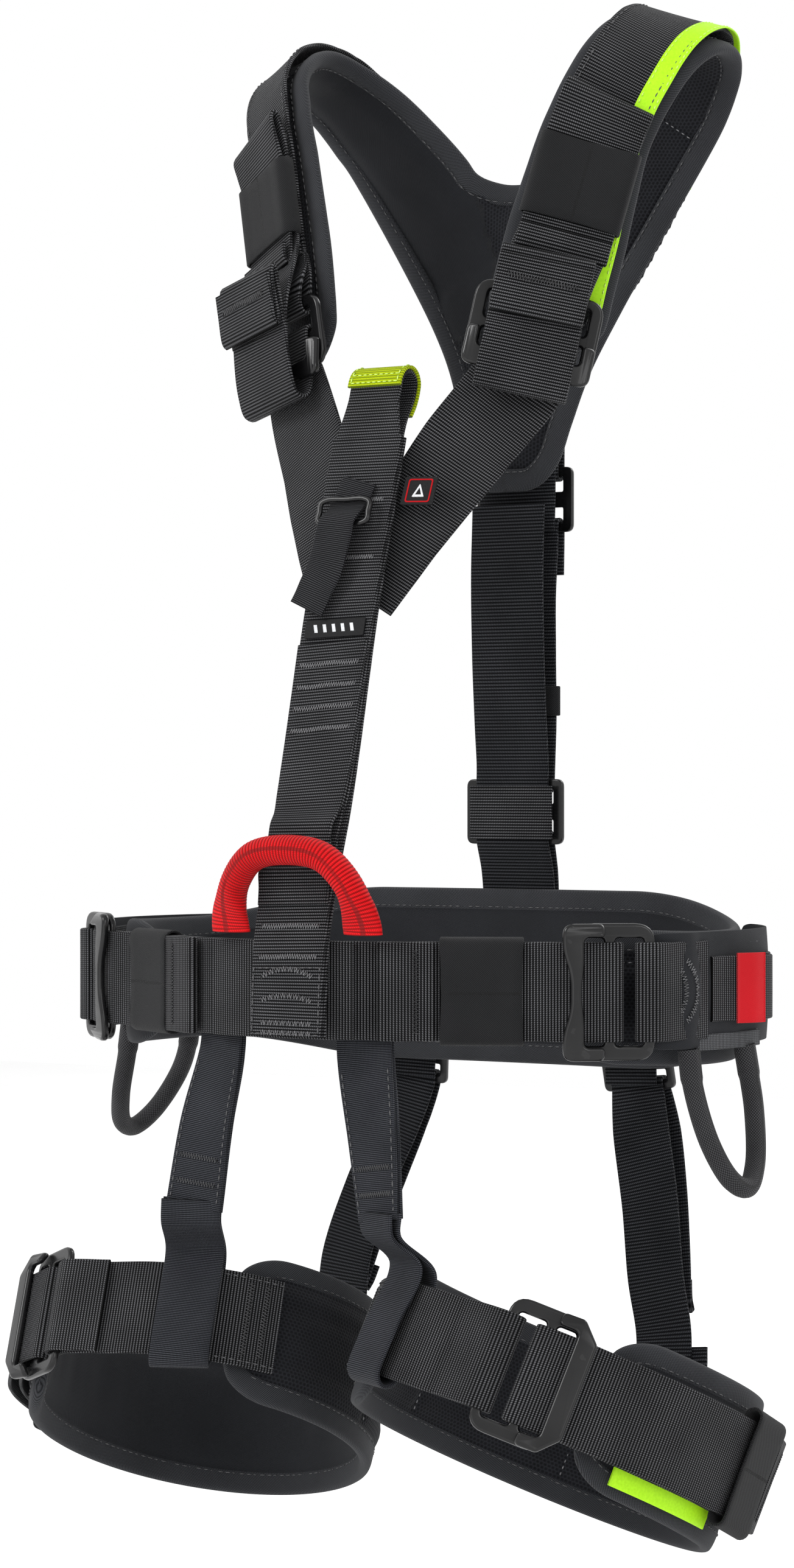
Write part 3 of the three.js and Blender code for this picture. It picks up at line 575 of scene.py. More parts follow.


# For the webbing, twill, mesh and cord materials the first colour is the weave's hollows, with painted shade,
# and the second its tops, with painted highlight.
MAT = {
    "webbing": webbing_material("webbing", (0.0005, 0.0005, 0.0007), (0.12, 0.121, 0.128),
                                1.45, 1.0, gap=2.9),
    "fine_web": webbing_material("fine_webbing", (0.0015, 0.0015, 0.002), (0.06, 0.061, 0.066),
                                 0.95, 0.7, 0.3),
    "back_web": webbing_material("back_webbing", (0.0012, 0.0014, 0.002), (0.05, 0.052, 0.058),
                                 1.7, 0.95, 0.45),
    "riser": webbing_material("riser_webbing", (0.004, 0.0045, 0.006), (0.07, 0.073, 0.084),
                              0.85, 0.65, 0.26),
    "elastic": twill_material("elastic", (0.0015, 0.0015, 0.0018), (0.022, 0.0225, 0.024), 0.85),
    "binding": twill_material("binding", (0.006, 0.0063, 0.0075), (0.05, 0.052, 0.058), 0.95, 0.16),
    "lining": mesh_material("mesh_lining", (0.0025, 0.0025, 0.0035), (0.018, 0.019, 0.023)),
    "shell": twill_material("pad_shell", (0.003, 0.0032, 0.004), (0.024, 0.0255, 0.03), 0.8, 0.15),
    "red": webbing_material("red_tube", (0.2, 0.0008, 0.001), (0.74, 0.008, 0.012),
                            1.6, 0.8, 0.4, 0.06, 0.5, 1.4),
    "red_tape": twill_material("red_tape", (0.36, 0.002, 0.005), (0.68, 0.012, 0.022), 0.7),
    "lime": plain_material("lime_strip", (0.33, 0.7, 0.006), (0.43, 0.82, 0.014),
                           0.5, 900.0, 0.05, Specular_IOR_Level=0.2),
    "lime_web": webbing_material("lime_webbing", (0.13, 0.18, 0.001), (0.5, 0.62, 0.006),
                                 1.5, 0.9, 0.45, gap=1.2),
    "pale_web": webbing_material("pale_webbing", (0.012, 0.012, 0.013), (0.16, 0.165, 0.175),
                                 1.1, 0.8, 0.35),
    "cord": cord_material("braided_cord", (0.0015, 0.0015, 0.002), (0.06, 0.06, 0.064)),
    "black": alloy_material("black_alloy", (0.0014, 0.0014, 0.0017), 0.0, 0.17),
    "plastic": plain_material("moulded_plastic", (0.004, 0.004, 0.0045), (0.01, 0.01, 0.011),
                              0.38, 700.0, 0.03),
    "thread": plain_material("thread", (0.04, 0.04, 0.042), (0.13, 0.13, 0.134),
                             0.6, 1500.0, 0.05, Specular_IOR_Level=0.2),
    "pale_thread": plain_material("pale_thread", (0.1, 0.1, 0.104), (0.26, 0.26, 0.27),
                                  0.6, 1500.0, 0.05, Specular_IOR_Level=0.2),
    "lime_thread": plain_material("lime_thread", (0.45, 0.7, 0.08), (0.65, 0.85, 0.2),
                                  0.5, 1500.0, 0.05),
    "patch": plain_material("woven_patch", (0.002, 0.002, 0.0023), (0.008, 0.008, 0.009),
                            0.6, 1200.0, 0.1, Specular_IOR_Level=0.15),
    "print": plain_material("patch_print", (0.45, 0.46, 0.48), (0.65, 0.66, 0.67), 0.55, 900.0, 0.03),
}
THREADS = {}


def threads(body, kind="thread"):
    """The thread mesh of a body, made when it is first asked for."""
    key = (body, kind)
    if key not in THREADS:
        THREADS[key] = Threads(f"{kind}_{body}", body, MAT[kind])
    return THREADS[key]


# ---- adjusters ----
# Places (along, out) where a strap passes under an adjuster's frame, round its bar and back, and where the
# sewn loop holds the frame's other bar.
TURN = [(-12, 0), (2, 0), (8, 0), (10.1, 0.9), (11, 3), (10.1, 5.1), (8, 6), (0, 6), (-12, 6)]
LOOP_TURN = [(27, 6), (21, 6), (18.9, 5.1), (18, 3), (18.9, 0.9), (21, -0.1), (28, -0.6)]


def turn_back(f):
    return [f.near(u, h) for u, h in TURN]


def sewn_end(track, s):
    """The strap that is sewn round the frame's fixed bar."""
    f = track.frame(s)
    return [track.on(s + 55, 2.8), track.on(s + 45, 3.2), *[f.near(u, h) for u, h in LOOP_TURN],
            track.on(s + 44, 0)]


def stopper(track, s, h, step):
    """The strap's end, folded over itself so that it can't slip out of its adjuster."""
    steps = ((0, 0), (0.8, 0.5), (1, LAYER / 2), (0.8, LAYER - 0.4), (0, LAYER), (-5, LAYER))
    return [track.on(s + share * step, h + rise) for share, rise in steps]


def outline(points, corners=6):
    """A closed flat outline; a point (u, w, r) is rounded by radius r."""
    made = []
    count = len(points)
    for i, p in enumerate(points):
        here = Vector(p[:2])
        sides = [(Vector(q[:2]) - here).length for q in (points[i - 1], points[(i + 1) % count])]
        r = min(p[2] if len(p) > 2 else 0.0, 0.45 * min(sides))
        if not r:
            made.append(here)
            continue
        a = (Vector(points[i - 1][:2]) - here).normalized()
        b = (Vector(points[(i + 1) % count][:2]) - here).normalized()
        for k in range(corners + 1):
            t = k / corners
            made.append(here + a * (r * (1 - t) ** 2) + b * (r * t ** 2))
    return made


def plate(name, loops, low, high, f, body, nodes, slot, material, bevel=0.8, bend=None):
    """A flat plate from closed outlines, holes after the first, with rounded edges."""
    curve = bpy.data.curves.new(name, "CURVE")
    curve.dimensions = "2D"
    curve.fill_mode = "BOTH"
    curve.extrude = (high - low) / 2 - bevel
    curve.bevel_depth = bevel
    curve.bevel_resolution = 3
    curve.offset = -bevel
    for loop in loops:
        spline = curve.splines.new("POLY")
        spline.points.add(len(loop) - 1)
        for point, (u, w) in zip(spline.points, loop):
            point.co = (u, w, 0, 1)
        spline.use_cyclic_u = True
    flat = bpy.data.objects.new(name, curve)
    bpy.context.scene.collection.objects.link(flat)
    bpy.context.view_layer.update()
    mesh = bpy.data.meshes.new_from_object(flat.evaluated_get(bpy.context.evaluated_depsgraph_get()))
    middle = (low + high) / 2
    verts = []
    for v in mesh.vertices:
        lift = bend(v.co.x, v.co.y) if bend else 0.0
        verts.append(f.point(v.co.x, v.co.y, v.co.z + middle + lift))
    faces = outward(verts, [tuple(p.vertices) for p in mesh.polygons])
    bpy.data.objects.remove(flat)
    made = make(name, verts, faces, material, body, nodes, slot)
    weld = made.modifiers.new("weld", "WELD")
    weld.merge_threshold = 0.00002
    normals = made.modifiers.new("normals", "WEIGHTED_NORMAL")
    normals.keep_sharp = False
    return made


def rectangle(u0, u1, half, r):
    return outline([(u0, -half, r), (u1, -half, r), (u1, half, r), (u0, half, r)])


def adjuster(kind, side, f, plate_body, slider_body):
    """The frame that stays with the sewn strap, and the C-shaped grip over it."""
    loops = [rectangle(-10, 26, 31, 9), rectangle(-6, 3, 24.4, 2), rectangle(8, 21, 24.4, 2)]
    plate(f"{kind}_buckle_frame_{side}", loops, 1.3, 4.7, f, plate_body, [f"{kind}_buckle_{side}"], "alloy",
          MAT["black"], 1.3)
    half, inner = 31.0, 24.9
    grip = [(-16, -half, 9), (3, -half, 3), (3, -inner, 2), (-6.5, -inner, 3), (-6.5, -13, 4), (-8, 0, 9),
            (-6.5, 13, 4), (-6.5, inner, 3), (3, inner, 2), (3, half, 3), (-16, half, 9), (-16.4, 20, 7),
            (-12.6, 8, 5), (-12.6, -8, 5), (-16.4, -20, 7)]

    if kind == "leg":
        corner = [(-16.2, 22, 1.5), (-16.2, -22, 1.5), (-7.5, -half, 1.5)]
        grip = [*corner, *grip[1:4], *grip[7:10], (-7.5, half, 1.5)]

    def bend(u, w):
        return 1.3 * math.cos(w / half * math.pi / 2) - 2.2 * smooth(abs(w), 25, 31) * smooth(u, -9, 2)

    plate(f"{kind}_buckle_grip_{side}", [outline(grip)], 6.9, 10.6, f, slider_body, [f"{kind}_slider_{side}"],
          "alloy", MAT["black"], 1.5, bend)


def sleeve(name, f, length, width, low, high, body, nodes, seed=0.0):
    """An elastic sleeve round layers of webbing: a closed band, wide along the strap."""
    w, r = width / 2 + 1.2, (high - low) / 2 + 0.5
    middle = (low + high) / 2
    right = [(w * 0.5, r * 1.04), (w - 1.5, r * 0.96), (w + 0.4, 0), (w - 1.5, -r * 0.96), (w * 0.5, -r)]
    places = [(0, r), *right, (0, -r), *((-a, b) for a, b in reversed(right))]
    route = [(f.point(0, a, middle + b), f.along) for a, b in places]

    def pinch(s, share):
        crimp = 0.012 * noise.noise(Vector((s / 9, seed, 0)))
        return 1.0 - 0.035 * (0.5 + 0.5 * math.cos(4 * math.pi * share)) + crimp

    webbing(name, route, body, nodes, MAT["elastic"], length, SLEEVE_WALL, True, 1.6, "elastic", seed,
            pinch=pinch)


# ---- padded parts ----
EDGE_STEPS = (0.0, 0.5, 1.4, 3.0, 5.2, 7.6, 9.4, 10.4, 11.4, 13.2, 16.0, 19.0)
BINDING = 10.4


def half_thick(d, full=PAD_THICK / 2):
    """Half the thickness of a pad at a distance from its edge: bound, pinched at the stitching, then full."""
    if d < BINDING:
        return 3.0 * math.sqrt(max(0.0, 1 - (1 - min(d / 2.8, 1)) ** 2)) + 0.5 * smooth(d, 2, 7)
    return mix(2.7, full, math.sin(math.pi / 2 * min((d - BINDING) / 11.0, 1.0)))


def pad_section(wide, end, rows, s, columns, outer_full=5.2):
    """One ring of a pad, as (across, out, distance from the edge) points."""
    half = wide / 2
    narrow = min(1.0, (half - 3) / EDGE_STEPS[-1])
    steps = [d * narrow for d in EDGE_STEPS]
    inside = half - steps[-1]
    places = [half - d for d in steps] + [inside * (1 - k / 4) for k in range(1, 4)]
    across = [-p for p in places] + [0.0] + list(reversed(places))
    ring = []
    for face in (1, -1):
        for w in across if face > 0 else reversed(across):
            d = min(half - abs(w), end)
            h = half_thick(d, outer_full if face > 0 else PAD_THICK / 2)
            if d < 0.3:
                h = 0.25 if half - abs(w) < 0.3 else 1.4
            if face < 0 and d > BINDING + 2:
                valley = max([math.exp(-((w - r) / 2.0) ** 2) for r in rows] +
                             [math.exp(-((s - c) / 2.0) ** 2) for c in columns] + [0.0])
                h -= 1.9 * valley
            ring.append((w, face * h, d))
    return ring


CLOTH = {"quality": 4, "mass": 0.25, "tension_stiffness": 18, "compression_stiffness": 8,
         "shear_stiffness": 6, "bending_stiffness": 2.5, "use_pressure": True, "vertex_group_mass": "held"}


def inflate(piece, held, pressure, cap):
    """Cloth under pressure: the padding swells between its held seams. A point moves no further than cap."""
    scene = bpy.context.scene
    mesh = piece.data
    before = [v.co.copy() for v in mesh.vertices]
    group = piece.vertex_groups.new(name="held")
    for i, weight in enumerate(held):
        if weight > 0:
            group.add([i], weight, "REPLACE")
    cloth = piece.modifiers.new("cloth", "CLOTH")
    for key, value in CLOTH.items():
        setattr(cloth.settings, key, value)
    cloth.settings.uniform_pressure_force = pressure
    cloth.settings.effector_weights.gravity = 0.0
    cloth.collision_settings.use_collision = False
    cloth.point_cache.frame_start = 1
    cloth.point_cache.frame_end = CLOTH_FRAMES + 2
    for number in range(1, CLOTH_FRAMES + 1):
        scene.frame_set(number)
    moved = piece.evaluated_get(bpy.context.evaluated_depsgraph_get()).data
    after = [v.co.copy() for v in moved.vertices]
    piece.modifiers.remove(cloth)
    scene.frame_set(1)
    limit = cap * MM
    for v, a, b in zip(mesh.vertices, before, after):
        step = b - a
        if step.length > limit:
            step = step.normalized() * limit
        v.co = a + step
    mesh.update()


def pad(name, route, width_at, body, node, rows=(), columns=(), pressure=3.0):
    """A bound, quilted pad along a route, its inner face lined with mesh."""
    band = Band(route, 2.4)
    verts, uvs, held, near_edge = [], [], [], []
    for f, s in zip(band.frames, band.s):
        share = s / band.length
        ring = pad_section(width_at(share), min(s, band.length - s), rows, s, columns)
        for w, h, d in ring:
            verts.append(f.point(0, w, h))
            uvs.append((s * MM, w * MM))
            seam = any(abs(w - r) < 1.2 for r in rows) or any(abs(s - c) < 1.3 for c in columns)
            held.append(1.0 if d < BINDING + 1.2 or (h < 0 and seam) else 0.0)
            near_edge.append(d)
    faces, picks = [], []
    size = len(ring)
    half = size // 2
    for i in range(len(band.frames) - 1):
        for k in range(size):
            m = (k + 1) % size
            face = (i * size + k, (i + 1) * size + k, (i + 1) * size + m, i * size + m)
            faces.append(face)
            d = sum(near_edge[v] for v in face) / 4
            picks.append(2 if d < BINDING - 0.4 or k in (half - 1, size - 1) else 0 if k < half else 1)
    last = (len(band.frames) - 1) * size
    faces += [tuple(reversed(range(size))), tuple(last + k for k in range(size))]
    picks += [2, 2]
    cloths = [MAT["shell"], MAT["lining"], MAT["binding"]]
    piece = make(name, verts, outward(verts, faces), cloths, body, [node], "pad", uvs, picks)
    inflate(piece, held, pressure, PAD_SWELL)
    piece.modifiers.new("smooth", "SUBSURF").render_levels = 1
    band.thick = PAD_THICK
    sew_pad(band, width_at, body, rows, columns)
    return band


def sew_pad(band, width_at, body, rows, columns):
    """Stitching along a pad's binding, on both faces, and along its quilting."""
    t = threads(body)
    edge = BINDING - 1.2
    for sign in (1, -1):
        def place(s, w):
            f = band.frame(s)
            half = width_at(s / band.length) / 2
            h = half_thick(min(half - abs(w), s, band.length - s)) + 0.15
            return f.point(0, w, sign * h)
        for way in (1, -1):
            path = []
            s = edge
            while s < band.length - edge:
                path.append((s, way * (width_at(s / band.length) / 2 - edge)))
                s += 6.0
            t.dashes(place, path)
    t = threads(body, "pale_thread")

    def lined(s, w):
        f = band.frame(s)
        return f.point(0, w, -(PAD_THICK / 2 - 1.9 + 0.2))
    for row in rows:
        t.dashes(lined, straight(14.0, band.length - 14.0, row, 40), 1.6, 1.6)
    for c in columns:
        half = width_at(c / band.length) / 2 - 13
        t.dashes(lined, [(c, -half), (c, half)], 1.6, 1.6)


def round_end(share):
    return 0.5 + 0.5 * math.sqrt(1 - (1 - share) ** 2) if share < 1 else 1.0


# ---- the belt ----
WAIST = Track([(0, -125, 0), (24, -124, 0), (47, -118.5, 0), (78, -102, 0), (109, -85.5, 0), (138, -70, 0),
               (159, -49, 0), (169, -14, 0), (169, 22, 0), (153, 58, 0), (116, 84, 0), (62, 94, 0),
               (0, 96, 0)], (0, 0, 1))
WAIST_BUCKLE_AT, WAIST_KEEPER_AT = 148, 96
UP = Vector((0, 0, 1))


def mirrored(route):
    return [(turned(p, -1), s) for p, s in reversed(route)]


def belt_pad():
    left = [(0, 84, -3), (60, 82, -3), (108, 74, -3), (141, 51, -4), (156, 20, -5), (156, -14, -5),
            (146, -40, -4), (128, -56, -3), (112, -62, -2)]
    route = along(UP, *((-x, y, z) for x, y, z in reversed(left[1:])), *left)

    def width_at(share):
        forward = smooth(abs(share - 0.5) * 2, 0.25, 0.6)
        return mix(BELT_BACK, BELT_SIDE, forward) * round_end(min(share, 1 - share) / 0.05)
    pad("belt_pad", route, width_at, "harness", "waist_pad", rows=(16.0,), columns=(170.0, 300.0, 430.0))


def belt_back():
    half = sewn_end(WAIST, WAIST_BUCKLE_AT)
    s = WAIST_BUCKLE_AT + 60
    while s < WAIST.length - 20:
        half.append(WAIST.on(s, 0))
        s += 24
    route = half + [WAIST.on(WAIST.length, 0)] + mirrored(half)
    band = webbing("belt_back_webbing", route, "harness", ["waist_back_web"], seed=1)
    place = outer_face(band)
    t = threads("harness")
    start = band.where(WAIST.on(222)[0])
    end = band.length - start
    for edge in (-20.5, 20.5):
        t.dashes(place, straight(start, end, edge, 60))


def belt_front():
    half = [WAIST.on(s, LAYER) for s in (5, 16, 27, 38)]
    webbing("belt_centre_webbing", mirrored(half) + half, "harness", ["waist_centre_web"], seed=2)
    before = [WAIST.on(s, 0) for s in (1.5, 18, 34, 50, 72, 96, 118)]
    after = [WAIST.on(s, 3.6) for s in (118, 96, 78)]
    for side, way in SIDES:
        route = [*before, *turn_back(WAIST.frame(WAIST_BUCKLE_AT)), *after,
                 *stopper(WAIST, 52, 3.7, -2.4)[:5], WAIST.on(62, 6.9), WAIST.on(74, 6.6)]
        webbing(f"belt_strap_{side}", swap(route, way), "harness", [f"waist_strap_{side}"], seed=3 + way)
        t = threads("harness")
        place = lambda u, w: turned(WAIST.frame(u).point(0, w, 8.1), way)
        t.tack(place, 66, -19, 66, 19)
        adjuster("waist", side, on_half(WAIST.frame(WAIST_BUCKLE_AT), way), "harness", f"waist_slider_{side}")
        keeper, at = f"waist_keeper_{side}", on_half(WAIST.frame(WAIST_KEEPER_AT), way)
        sleeve(f"belt_keeper_{side}", at, 38, WEB_WIDE, -1.9, 5.6, keeper, [keeper], seed=way)


def lateral_loops():
    """The side attachment loops, each with its red tag, and what is sewn on the belt round them."""
    rise = (2.8, 2.9, 4.6, 8.5, 10.5, 9.5, 4.6, 2.9, 2.8)
    for side, way in SIDES:
        route = swap([WAIST.on(206 + 8 * i, h) for i, h in enumerate(rise)], way)
        webbing(f"positioning_loop_{side}", route, "harness", [f"lateral_loop_{side}"], width=WEB_NARROW,
                seed=7 + way)
        tag = swap([WAIST.on(s, h) for s, h in ((221.5, 6.1), (226, 8.2), (230, 10.3), (236, 11.7))], way)
        webbing(f"positioning_tag_{side}", tag, "harness", (), MAT["red_tape"], 32.4, 0.9, seed=9)
        t = threads("harness", "pale_thread")
        place = lambda u, w: turned(WAIST.frame(u).point(0, w, 4.1), way)
        for u in (266, 271):
            t.tack(place, u, -13, u, 13)
        side_panel(side, way)

        def patch(u, w):
            h = 6.1 - 2.6 * smooth(u, 191, 202) - 0.0025 * w * w
            return turned(WAIST.frame(u).point(0, w, h), way)
        for u, rise_by in ((176, 0.0), (182, 5.5), (188, 6.5)):
            arch(t, patch, u, rise_by)


SHELL_WIDE = 53


def side_panel(side, way):
    """The pad's woven shell, sewn over the end of the adjuster's webbing, and the tool strip at its foot."""
    route = [WAIST.on(s, h) for s, h in (
        (170, 4.1), (180, 4.2), (191, 4.0), (199, 2.0), (207, 1.2), (230, 1.1), (270, 1.1), (300, 1.1),
        (318, 0.9))]
    band = Band(swap(route, way), 2.0)
    middle = band.frame(band.length / 2)
    sign = 1 if middle.out.dot(Vector((middle.at.x, middle.at.y, 0))) > 0 else -1

    def section(s, share):
        return strip(SHELL_WIDE * (0.8 + 0.2 * round_end(min(share, 1 - share) / 0.07)), 0.9, 12, sign * 1.1)
    verts, faces, uvs, _ = sweep(band, section)
    make(f"belt_shell_{side}", verts, faces, MAT["shell"], "harness", slot="pad", uvs=uvs)
    low = [(p - UP * 24.2, d) for p, d in (WAIST.on(s, 2.2) for s in (196, 206, 216, 226, 238, 250))]
    webbing(f"belt_tool_strip_{side}", swap(low, way), "harness", (), MAT["pale_web"], 7.5, 1.2, seed=12)


GEAR_CORD = 4.7


def gear_loop(side, way, front, back, depth, flare):
    """A cord that leaves the belt at two lengths of it and hangs below in an arc."""
    a, b = WAIST.on(front)[0], WAIST.on(back)[0]
    top = -WEB_WIDE / 2 - 4.8
    along = (0, 0.02, 0.14, 0.36, 0.6, 0.84, 1.03, 1.04, 1)
    down = (0, 0.28, 0.68, 0.94, 1, 0.85, 0.48, 0.2, 0)
    out = WAIST.frame((front + back) / 2).out
    route = []
    for share, d in zip(along, down):
        p = a.lerp(b, share) + out * (flare * d ** 1.5)
        route.append((Vector((p.x, p.y, top - depth * d)), out))
    band = Band(swap(route, way), 1.2)

    def section(s, share):
        r = GEAR_CORD * (1 + 0.10 * (smooth(s, 16, 13) + smooth(band.length - s, 16, 13)))
        return oval(r, r, 20)
    verts, faces, _, size = sweep(band, section)
    uvs = round_uvs(band, size, 2 * math.pi * GEAR_CORD)
    body = f"gear_loop_{side}"
    make(f"gear_loop_cord_{side}", verts, faces, MAT["cord"], body, [body], "cord", uvs)


BRIDGE_GIRTH = 42


def bridge():
    """The ribbed red tube that arches over the belt's middle."""
    across = (-1, -1, -0.97, -0.84, -0.52, 0, 0.52, 0.84, 0.97, 1, 1)
    rise = (0, 0.08, 0.3, 0.62, 0.92, 1, 0.92, 0.62, 0.3, 0.08, 0)
    places = ((12 + 36 * a, -131 - 8 * r, 26 + 38 * r) for a, r in zip(across, rise))
    band = Band(along(Vector((0, -1, 0)), *places), 0.33)

    def section(s, share):
        full = smooth(min(share, 1 - share), 0.02, 0.2)
        rib = 0.22 * abs(math.sin(math.pi * s / 1.6)) * full
        deep, wide = mix(4.4, 13.4, full), mix(21, 13.4, full)
        return oval(deep / 2 + rib, wide / 2 + rib, 24)
    verts, faces, _, size = sweep(band, section)
    uvs = round_uvs(band, size, BRIDGE_GIRTH)
    body = "ventral_bridge"
    make("ventral_bridge_tube", verts, faces, MAT["red"], body, [body], "red_tape", uvs)


# ---- the chest ----
STERNUM = Track([(10, -135.5, -21), (10, -134.5, 0), (9.5, -132, 20), (8.5, -123, 50), (7.5, -110, 84),
                 (4, -95, 120), (1, -81, 158), (0, -69, 196), (0, -59, 228), (0, -52, 252), (0, -48, 266)],
                (-1, 0, 0))
STERNUM_WIDTH = 40
PATCH_AT, ACCESSORY_AT = 197.4, 254


def sternal_strap():
    t = threads("harness", "pale_thread")
    dark = threads("harness")
    places = (0, 22, 45, 75, 105, 140, 175, 210, 240, STERNUM.length - 8)
    rear = [STERNUM.on(s, -1.2) for s in places]
    front = [STERNUM.on(s, 1.2) for s in places]
    webbing("sternal_rear_webbing", rear, "harness", ["sternal_strap"], width=STERNUM_WIDTH, seed=13)

    def gathered(start):
        """The pinch where the shoulder straps pass, for a band that starts at a length of the strap."""
        return lambda s, share: 1 - 0.11 * math.exp(-(((s + start - 96) / 13) ** 2))

    webbing("sternal_front_webbing", front, "harness", width=STERNUM_WIDTH - 1, seed=15, pinch=gathered(0))
    folds = [STERNUM.on(s, h) for s, h in ((60, 2.6), (68, 4.2), (75, 6.6), (82, 4.4), (89, 6.2), (97, 7.2),
                                           (105, 4.2), (116, 3.3), (130, 3.2), (160, 3.2), (190, 3.3))]
    webbing("sternal_over_webbing", folds, "harness", width=STERNUM_WIDTH - 2, seed=17, pinch=gathered(60))
    place = lambda u, w: STERNUM.frame(u).point(0, w, 4.5)
    for u in (146, 157, 168, 179):
        t.tack(place, u, -16.5, u, 16.5, 1.3, 2.2, 0.25)
    low = lambda u, w: STERNUM.frame(u).point(0, w, 2.45)
    for u in (36, 50):
        t.tack(low, u, -16, u, 16, 1.3, 2.2, 0.2)
    for u, rise in ((27, 3.5), (16, 2.5), (6, 0.0), (-2, 0)):
        arch(t, low, max(u, 3) if u > 0 else 1.5, rise)
    for u in (31, 1):
        dark.dashes(low, [(u, -18), (u, 18)])
    for w in (-18, 18):
        dark.dashes(low, [(2, w), (31, w)])
    for u in (233, 262):
        t.tack(low, u, -15, u, 15, 1.3, 2.0)
    crown()


def arch(t, place, u, rise):
    """A bar tack that bows upwards between its ends."""
    steps = 8
    for k in range(steps):
        a, b = [-14 + 28 * (k + e) / steps for e in (0, 1)]
        ua, ub = [u + rise * (1 - (w / 14) ** 2) for w in (a, b)]
        t.tack(place, ua, a, ub, b, 1.3, 2.2)


LOOP_OUTLINE = ((-18, 0.6), (2, 1), (24, 1), (34, -0.4), (38, -6), (35.5, -11.5), (26, -12), (14, -8),
                (3, -4), (-18, -0.8))
CROWN_WIDTH = 30


def crown():
    """The sternal strap's own loop, and the bright sleeve sewn over its top."""
    top = STERNUM.frame(STERNUM.length - 10)
    route = [top.near(u, h) for u, h in LOOP_OUTLINE]

    def pinch(s, share):
        return 1 - 0.23 * smooth(share, 0.12, 0.34) * (1 - smooth(share, 0.7, 0.95))

    webbing("sternal_loop", route, "harness", width=STERNUM_WIDTH - 3, seed=19, pinch=pinch)
    band = Band(route, 2.0)
    start, end = band.where(top.point(27, 0, 0.7)), band.where(top.point(17, 0, -9))
    over = [band.frame(mix(start, end, k / 11)).near(0, 1.95) for k in range(12)]
    webbing("sternal_tape_sleeve", over, "harness", ["sternal_tape"], MAT["lime_web"], CROWN_WIDTH, 1.5,
            slot="lime_tape", seed=21, step=1.2)
    t = threads("harness", "lime_thread")
    place = lambda s, w: band.frame(s).point(0, w, 2.9)
    edge = CROWN_WIDTH / 2 - 2
    for w in (-edge, edge):
        t.dashes(place, [(start + 2, w), (end - 2, w)], 2.0, 1.0)
    for u in (start + 1.5, start + 5):
        t.dashes(place, [(u, -edge), (u, edge)], 2.0, 1.0)


def sternal_patch():
    """A woven patch with a row of plain bars printed on it, and a small folded tag beside it."""
    f = STERNUM.frame(PATCH_AT)
    loops = [rectangle(-4.5, 4.5, 16.5, 1.0)]
    plate("sternal_patch", loops, 2.7, 3.5, f, "harness", ["sternal_label"], "label", MAT["patch"], 0.2)
    for i in range(5):
        w = 10 - i * 5.0
        bar = [outline([(-2.0, w - 1.1), (2.0, w + 0.1), (2.0, w + 1.9), (-2.0, w + 0.7)])]
        plate(f"sternal_patch_bar_{i}", bar, 3.3, 3.75, f, "harness", (), "label", MAT["print"], 0.1)
    g = facing((31, -55, 232), (0.1, -0.9, 0.4), (0, 0.3, 1))
    plate("marker_tag_cloth", [rectangle(-7.5, 7.5, 8.5, 1.0)], -0.4, 0.4, g, "harness", ["marker_tag"],
          "label", MAT["patch"], 0.2)
    plate("marker_tag_border", [rectangle(-6.2, 6.2, 6.4, 1.4), rectangle(-5.5, 5.5, 5.7, 1.0)], 0.3, 0.65, g,
          "harness", (), "label", MAT["red_tape"], 0.1)
    plate("marker_tag_print", [outline([(-3.4, 3.2, 0.6), (3.6, 0, 0.6), (-3.4, -3.2, 0.6)]),
                               outline([(-2.2, 1.6, 0.3), (1.6, 0, 0.3), (-2.2, -1.6, 0.3)])], 0.3, 0.7, g,
          "harness", (), "label", MAT["print"], 0.1)


def accessory():
    f = STERNUM.frame(ACCESSORY_AT)
    places = [(17, 4, 3), (10, 4.4, 1), (5, 5.3, 0), (1.4, 7, 0), (-1.4, 9.4, 0), (-6, 11.6, -1),
              (-13, 10.8, -2), (-28, 8.6, -5), (-37, 7.6, -8.6), (-43, 7, -10.8), (-48, 6.6, -13)]
    route = [(f.point(u, 0, h) + Vector((w - 2, 0, 0)), f.side) for u, h, w in places]
    webbing("accessory_webbing", route, "accessory", ["accessory_strap"], MAT["fine_web"], 20, 1.4, seed=23)
    f.at += f.out * 8.4 + Vector((-2, 0, 0))
    w, h = 13.6, 6.1
    right = [(h * 0.7, -w), (h, -w * 0.75), (h, 0), (h, w * 0.75), (h * 0.7, w)]
    loop = [(0, -w), *right, (0, w), *((-u, v) for u, v in reversed(right))]
    band = Band([(f.point(u, v, 0), f.out) for u, v in loop], 0.8, True)
    verts, faces, uvs, _ = sweep(band, lambda s, share: oval(1.4, 1.4, 12))
    make("accessory_wire", verts, faces, MAT["black"], "accessory", ["accessory_ring"], "alloy", uvs)


# ---- the shoulder yoke ----
ARM = Track(
    [(66, -1, 302), (70, 2, 327), (75, 6, 352), (81, 10, 378), (87, 14, 402), (95, 20, 424), (102, 29, 441),
     (106, 44, 453), (107, 62, 457), (103, 79, 453), (91, 90, 438), (73, 95, 416), (58, 98, 395),
     (45, 99.5, 376), (31, 100, 356)],
    [(-0.87, -0.5, 0), (-0.87, -0.5, 0), (-0.87, -0.5, 0), (-0.87, -0.5, 0), (-0.87, -0.5, 0.05),
     (-0.87, -0.5, 0.1), (-0.86, -0.52, 0.18), (-0.85, -0.52, 0.24), (-0.84, -0.5, 0.27),
     (-0.84, -0.42, 0.35), (-0.8, -0.35, 0.5), (-0.74, -0.29, 0.61), (-0.66, -0.2, 0.72),
     (-0.56, -0.13, 0.82), (-0.5, -0.1, 0.86)])
ARM_STATIONS = 28
ARM_WIDTHS = (56, 56, 50, 49, 56, 64, 66)
